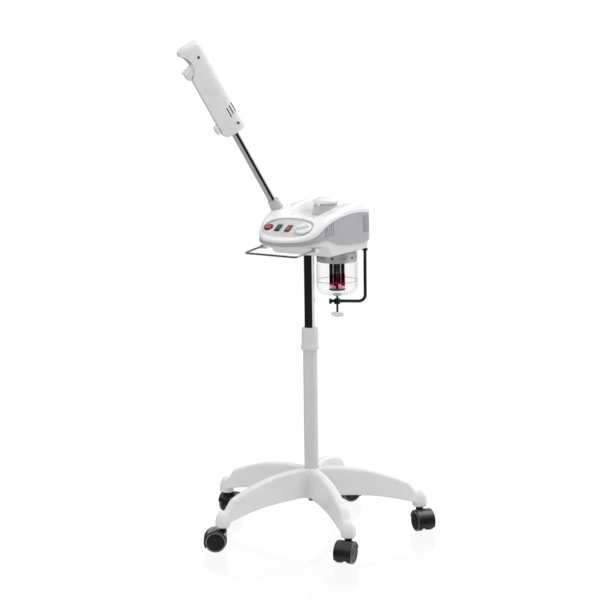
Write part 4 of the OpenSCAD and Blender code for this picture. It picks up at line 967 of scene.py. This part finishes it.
foot, tip = heights("clamp_screw")
screw_pitch = 1.5
thread = [(0, foot), (2.2, foot)]
z = foot + 0.4
while z < tip - 2:
    thread += [(2.45, z), (2.95, z + 0.55), (2.95, z + 0.75), (2.45, z + 1.3)]
    z += screw_pitch
thread += [(2.2, tip), (0, tip)]
dark_steel = Finish("dark_steel", (0.09, 0.09, 0.095), 0.35, Metallic=0.9)
oil = dark_steel.noise(120, 4).ramp(0.35, 0.7)
dark_steel.tone(oil, (0.06, 0.06, 0.065), (0.14, 0.14, 0.14))
dark_steel.put("Roughness", oil * 0.2 + 0.25)
fit(paint(turned(thread, at_jar, 32), dark_steel.material), "clamp_thread", "clamp_handle", "steel", "clamp_screw",
    degrees=20)

foot, tip = heights("wing_knob")
middle = (foot + tip) / 2
hub = turned(loop([(3.2, foot), (6, foot), (6.8, foot + 2), (6.4, tip - 2), (5.6, tip), (3.2, tip)], 1), at_jar, 48)
wings = []
for hand in (0, 180):
    fresh()
    bpy.ops.mesh.primitive_uv_sphere_add(segments=32, ring_count=20, radius=1)
    wing = bpy.context.object
    for v in wing.data.vertices:
        x, y, zed = v.co
        v.co = ((10.6 + 6.6 * x) * mm, (3.1 * y * (1 - 0.18 * x)) * mm, (5.2 * zed * (1 + 0.12 * x)) * mm)
    turned_to = Matrix.Translation((jar_x * mm, jar_y * mm, middle * mm)) @ turn(hand + 8, "Z")
    wing.data.transform(turned_to)
    wings.append(wing)
wing_grey = moulded("wing_grey", (0.9, 0.9, 0.9), (0.85, 0.85, 0.85), 0.4, 1.0)
fit(paint(joined(hub, *wings), wing_grey), "clamp_wing", "clamp_handle", "white_plastic", "wing_knob", degrees=60)

# ---------- Steam arm ----------
# A chrome tube rises from the cover through a tapered grey-white collar with a dark seal at its lip. The tube
# carries the steam head and brings it the steam.

collar = turned(
    loop([(10.15, 10.4), (15.6, 10.4), (15.4, 13), (13.4, 33), (13, 35.6), (12.2, 36.2), (10.15, 36.2)], 0.9),
    on_arm, 96)
collar_grey = moulded("collar_grey", (0.57, 0.575, 0.58), (0.52, 0.525, 0.53), 0.3, 0.8, 0.1)
fit(paint(collar, collar_grey), "arm_sleeve", "steam_arm", "white_plastic", "arm_collar")
seals = [turned([(10.1, 35.8), (10.9, 35.8), (10.9, 36.7), (10.1, 36.9), (10.1, 35.8)], on_arm, 64)]
# Two dark dots set on the lip at its left and right edges as seen from the camera are painted shade; the ring before
# them is the real seal.
for hand in (-1, 1):
    shade_dot_place = on_arm @ turn(math.degrees(-lean) + math.degrees(view_azimuth), "Z") @ shift(hand * 12.2, 0, 35.9)
    seals.append(turned(eased([(0, -1.4), (1.5, -1.4), (1.5, 1.3), (0, 1.6)], 0.6), shade_dot_place, 20))
fit(paint(joined(*seals), seal_rubber_and_shade), "arm_seal_and_shade_dots", "steam_arm", "seal_black", "collar_seals")
tube = turned([(8.5, -34), (10, -34), (10, 282), (8.5, 282), (8.5, -34)], on_arm, 128)
fit(paint(tube, chrome.material), "arm_pipe", "steam_arm", "chrome_tube", "arm_tube")

# ---------- Steam head ----------
# Two thin white mouldings meet on a fine seam and are screwed together round the pipe. The face is scooped
# out under a visor for the nozzle, and three slots on each side let warm air out.

head_start, head_len, half_deep, half_wide = 222.0, 240.0, 30.0, 26.0
boxy = 0.72


def pod(inset):
    """The head's rounded body in the arm's frame, moved in by inset."""
    rows, around = 46, 72
    fresh()
    bpy.ops.mesh.primitive_grid_add(x_subdivisions=around, y_subdivisions=rows, size=1)
    piece = bpy.context.object
    for i, v in enumerate(piece.data.vertices):
        row, spot = divmod(i, around + 1)
        t, a = row / rows, 2 * math.pi * spot / around
        deep, wide = half_deep - inset, half_wide - inset
        ends, low_end, high_end = 15 - inset, head_start + inset, head_start + head_len - inset
        if t < 0.22:
            b = math.pi / 2 * t / 0.22
            s, draw = low_end + ends * (1 - math.cos(b)), ends * (1 - math.sin(b))
        elif t > 0.78:
            b = math.pi / 2 * (1 - t) / 0.22
            s, draw = high_end - ends * (1 - math.cos(b)), ends * (1 - math.sin(b))
        else:
            s, draw = low_end + ends + (high_end - low_end - 2 * ends) * (t - 0.22) / 0.56, 0
        c, n = math.cos(a), math.sin(a)
        v.co = Vector(((wide - draw) * math.copysign(abs(c) ** boxy, c),
                       (deep - draw) * math.copysign(abs(n) ** boxy, n), s)) * mm
    shape_in_edit(piece)
    bpy.ops.mesh.remove_doubles(threshold=0.00002)
    bpy.ops.mesh.select_all(action="DESELECT")
    bpy.ops.mesh.select_non_manifold()
    bpy.ops.mesh.edge_face_add()
    bpy.ops.mesh.select_all(action="SELECT")
    bpy.ops.mesh.normals_make_consistent(inside=False)
    back_to_object()
    return piece


def scoop(grow):
    """The hollow in the face, cut by a wide drum across the head."""
    drum = turned([(0, -60), (38 + grow, -60), (38 + grow, 60), (0, 60)], turn(90, "Y"), 128)
    drum.data.transform(shift(0, -52, 415))
    return drum


out_of_head = shift(0, 0, 405) @ turn(102, "X")
shell = pod(0)
cut(shell, scoop(0))
core = pod(2.5)
cut(core, scoop(2.5))
cut(shell, core)
cut(shell, turned([(0, 200), (10.1, 200), (10.1, 250), (0, 250)], steps=48))
cut(shell, turned([(0, 4), (14.1, 4), (14.1, 60), (0, 60)], out_of_head, 64))
for hand in (-1, 1):
    for k in range(3):
        cut(shell, block((20, 2.8, 24), shift(hand * half_wide, 6 + 8 * k, head_start + 54 + 3 * k), 0.9, 2))
# A thin black sheet inside the shell behind the vent slots is painted shade: it stops light passing through the head,
# so the slots look dark.
shade_sheet = pod(2.7)
cut(shade_sheet, pod(3.5))
cut(shade_sheet, block((120, 26, 36), shift(0, 13, head_start + 57)), "INTERSECT")
for hand, name, hidden in ((1, "head_half_right", "head_shell_right"), (-1, "head_half_left", "head_shell_left")):
    sides = []
    for whole, material in ((shell, cover_white), (shade_sheet, seal_rubber_and_shade)):
        half = whole.copy()
        half.data = whole.data.copy()
        bpy.context.scene.collection.objects.link(half)
        cut(half, block((120, 120, 400), shift(hand * 60.12, 0, head_start + 120)), "INTERSECT")
        sides.append(paint(half, material))
    half = joined(*sides)
    half.data.transform(on_arm)
    fit(half, name, "steam_arm", "cover_white", hidden, degrees=45)
bpy.data.objects.remove(shell)
bpy.data.objects.remove(shade_sheet)
keep(screw_steel.material, "head_screws")

root = 7.0
spout = turned(
    eased([(10.5, root + 9), (10.5, 38.4), (11.2, 39.6), (12.4, 40), (13.6, 39.4), (14, 38), (14, root + 2.2),
           (15, root + 2), (15, root), (12.4, root)], 0.7) + [(12.4, root + 9), (10.5, root + 9)],
    on_arm @ out_of_head, 96)
fit(paint(spout, cover_white), "nozzle_spout", "steam_nozzle", "cover_white", "nozzle")
grip = turned(eased([(0, -2), (4, -2), (4, 0.4), (11, 0.4), (12, 1.6), (12, 6.4), (10.4, 9), (7, 10), (0, 10.3)], 1.4),
              on_arm @ shift(0, -30.2, 250) @ turn(90, "X"), 96)
fit(paint(grip, cover_white), "head_grip", "steam_arm", "cover_white", "grip")

# ---------- Inside the unit ----------
# The pieces that only show when the shells are lifted: a silicone steam hose and elbow, a green circuit board
# with its transformer, and the quartz ozone lamp in the head.

hose = Finish("hose_silicone", (0.72, 0.70, 0.64), 0.5, Coat_Weight=0.1)
hose.tone(hose.noise(30, 4).ramp(0.35, 0.7), (0.76, 0.74, 0.68), (0.66, 0.63, 0.56))
hose.put("Roughness", hose.noise(120, 3) * 0.2 + 0.4)
keep(hose.material, "steam_duct", "head_duct")
board = Finish("board_green", (0.02, 0.16, 0.07), 0.35)
tracks = board.noise(240, 1, (1, 0.2, 1)).ramp(0.5, 0.54)
board.tone(tracks, (0.015, 0.13, 0.05), (0.04, 0.24, 0.11))
board.put("Roughness", tracks * 0.15 + 0.3)
keep(board.material, "circuit_board")
quartz = clear("quartz", (0.9, 0.93, 0.98), (0.5, 0.55, 0.65), 0.06)
keep(quartz, "ozone_lamp")
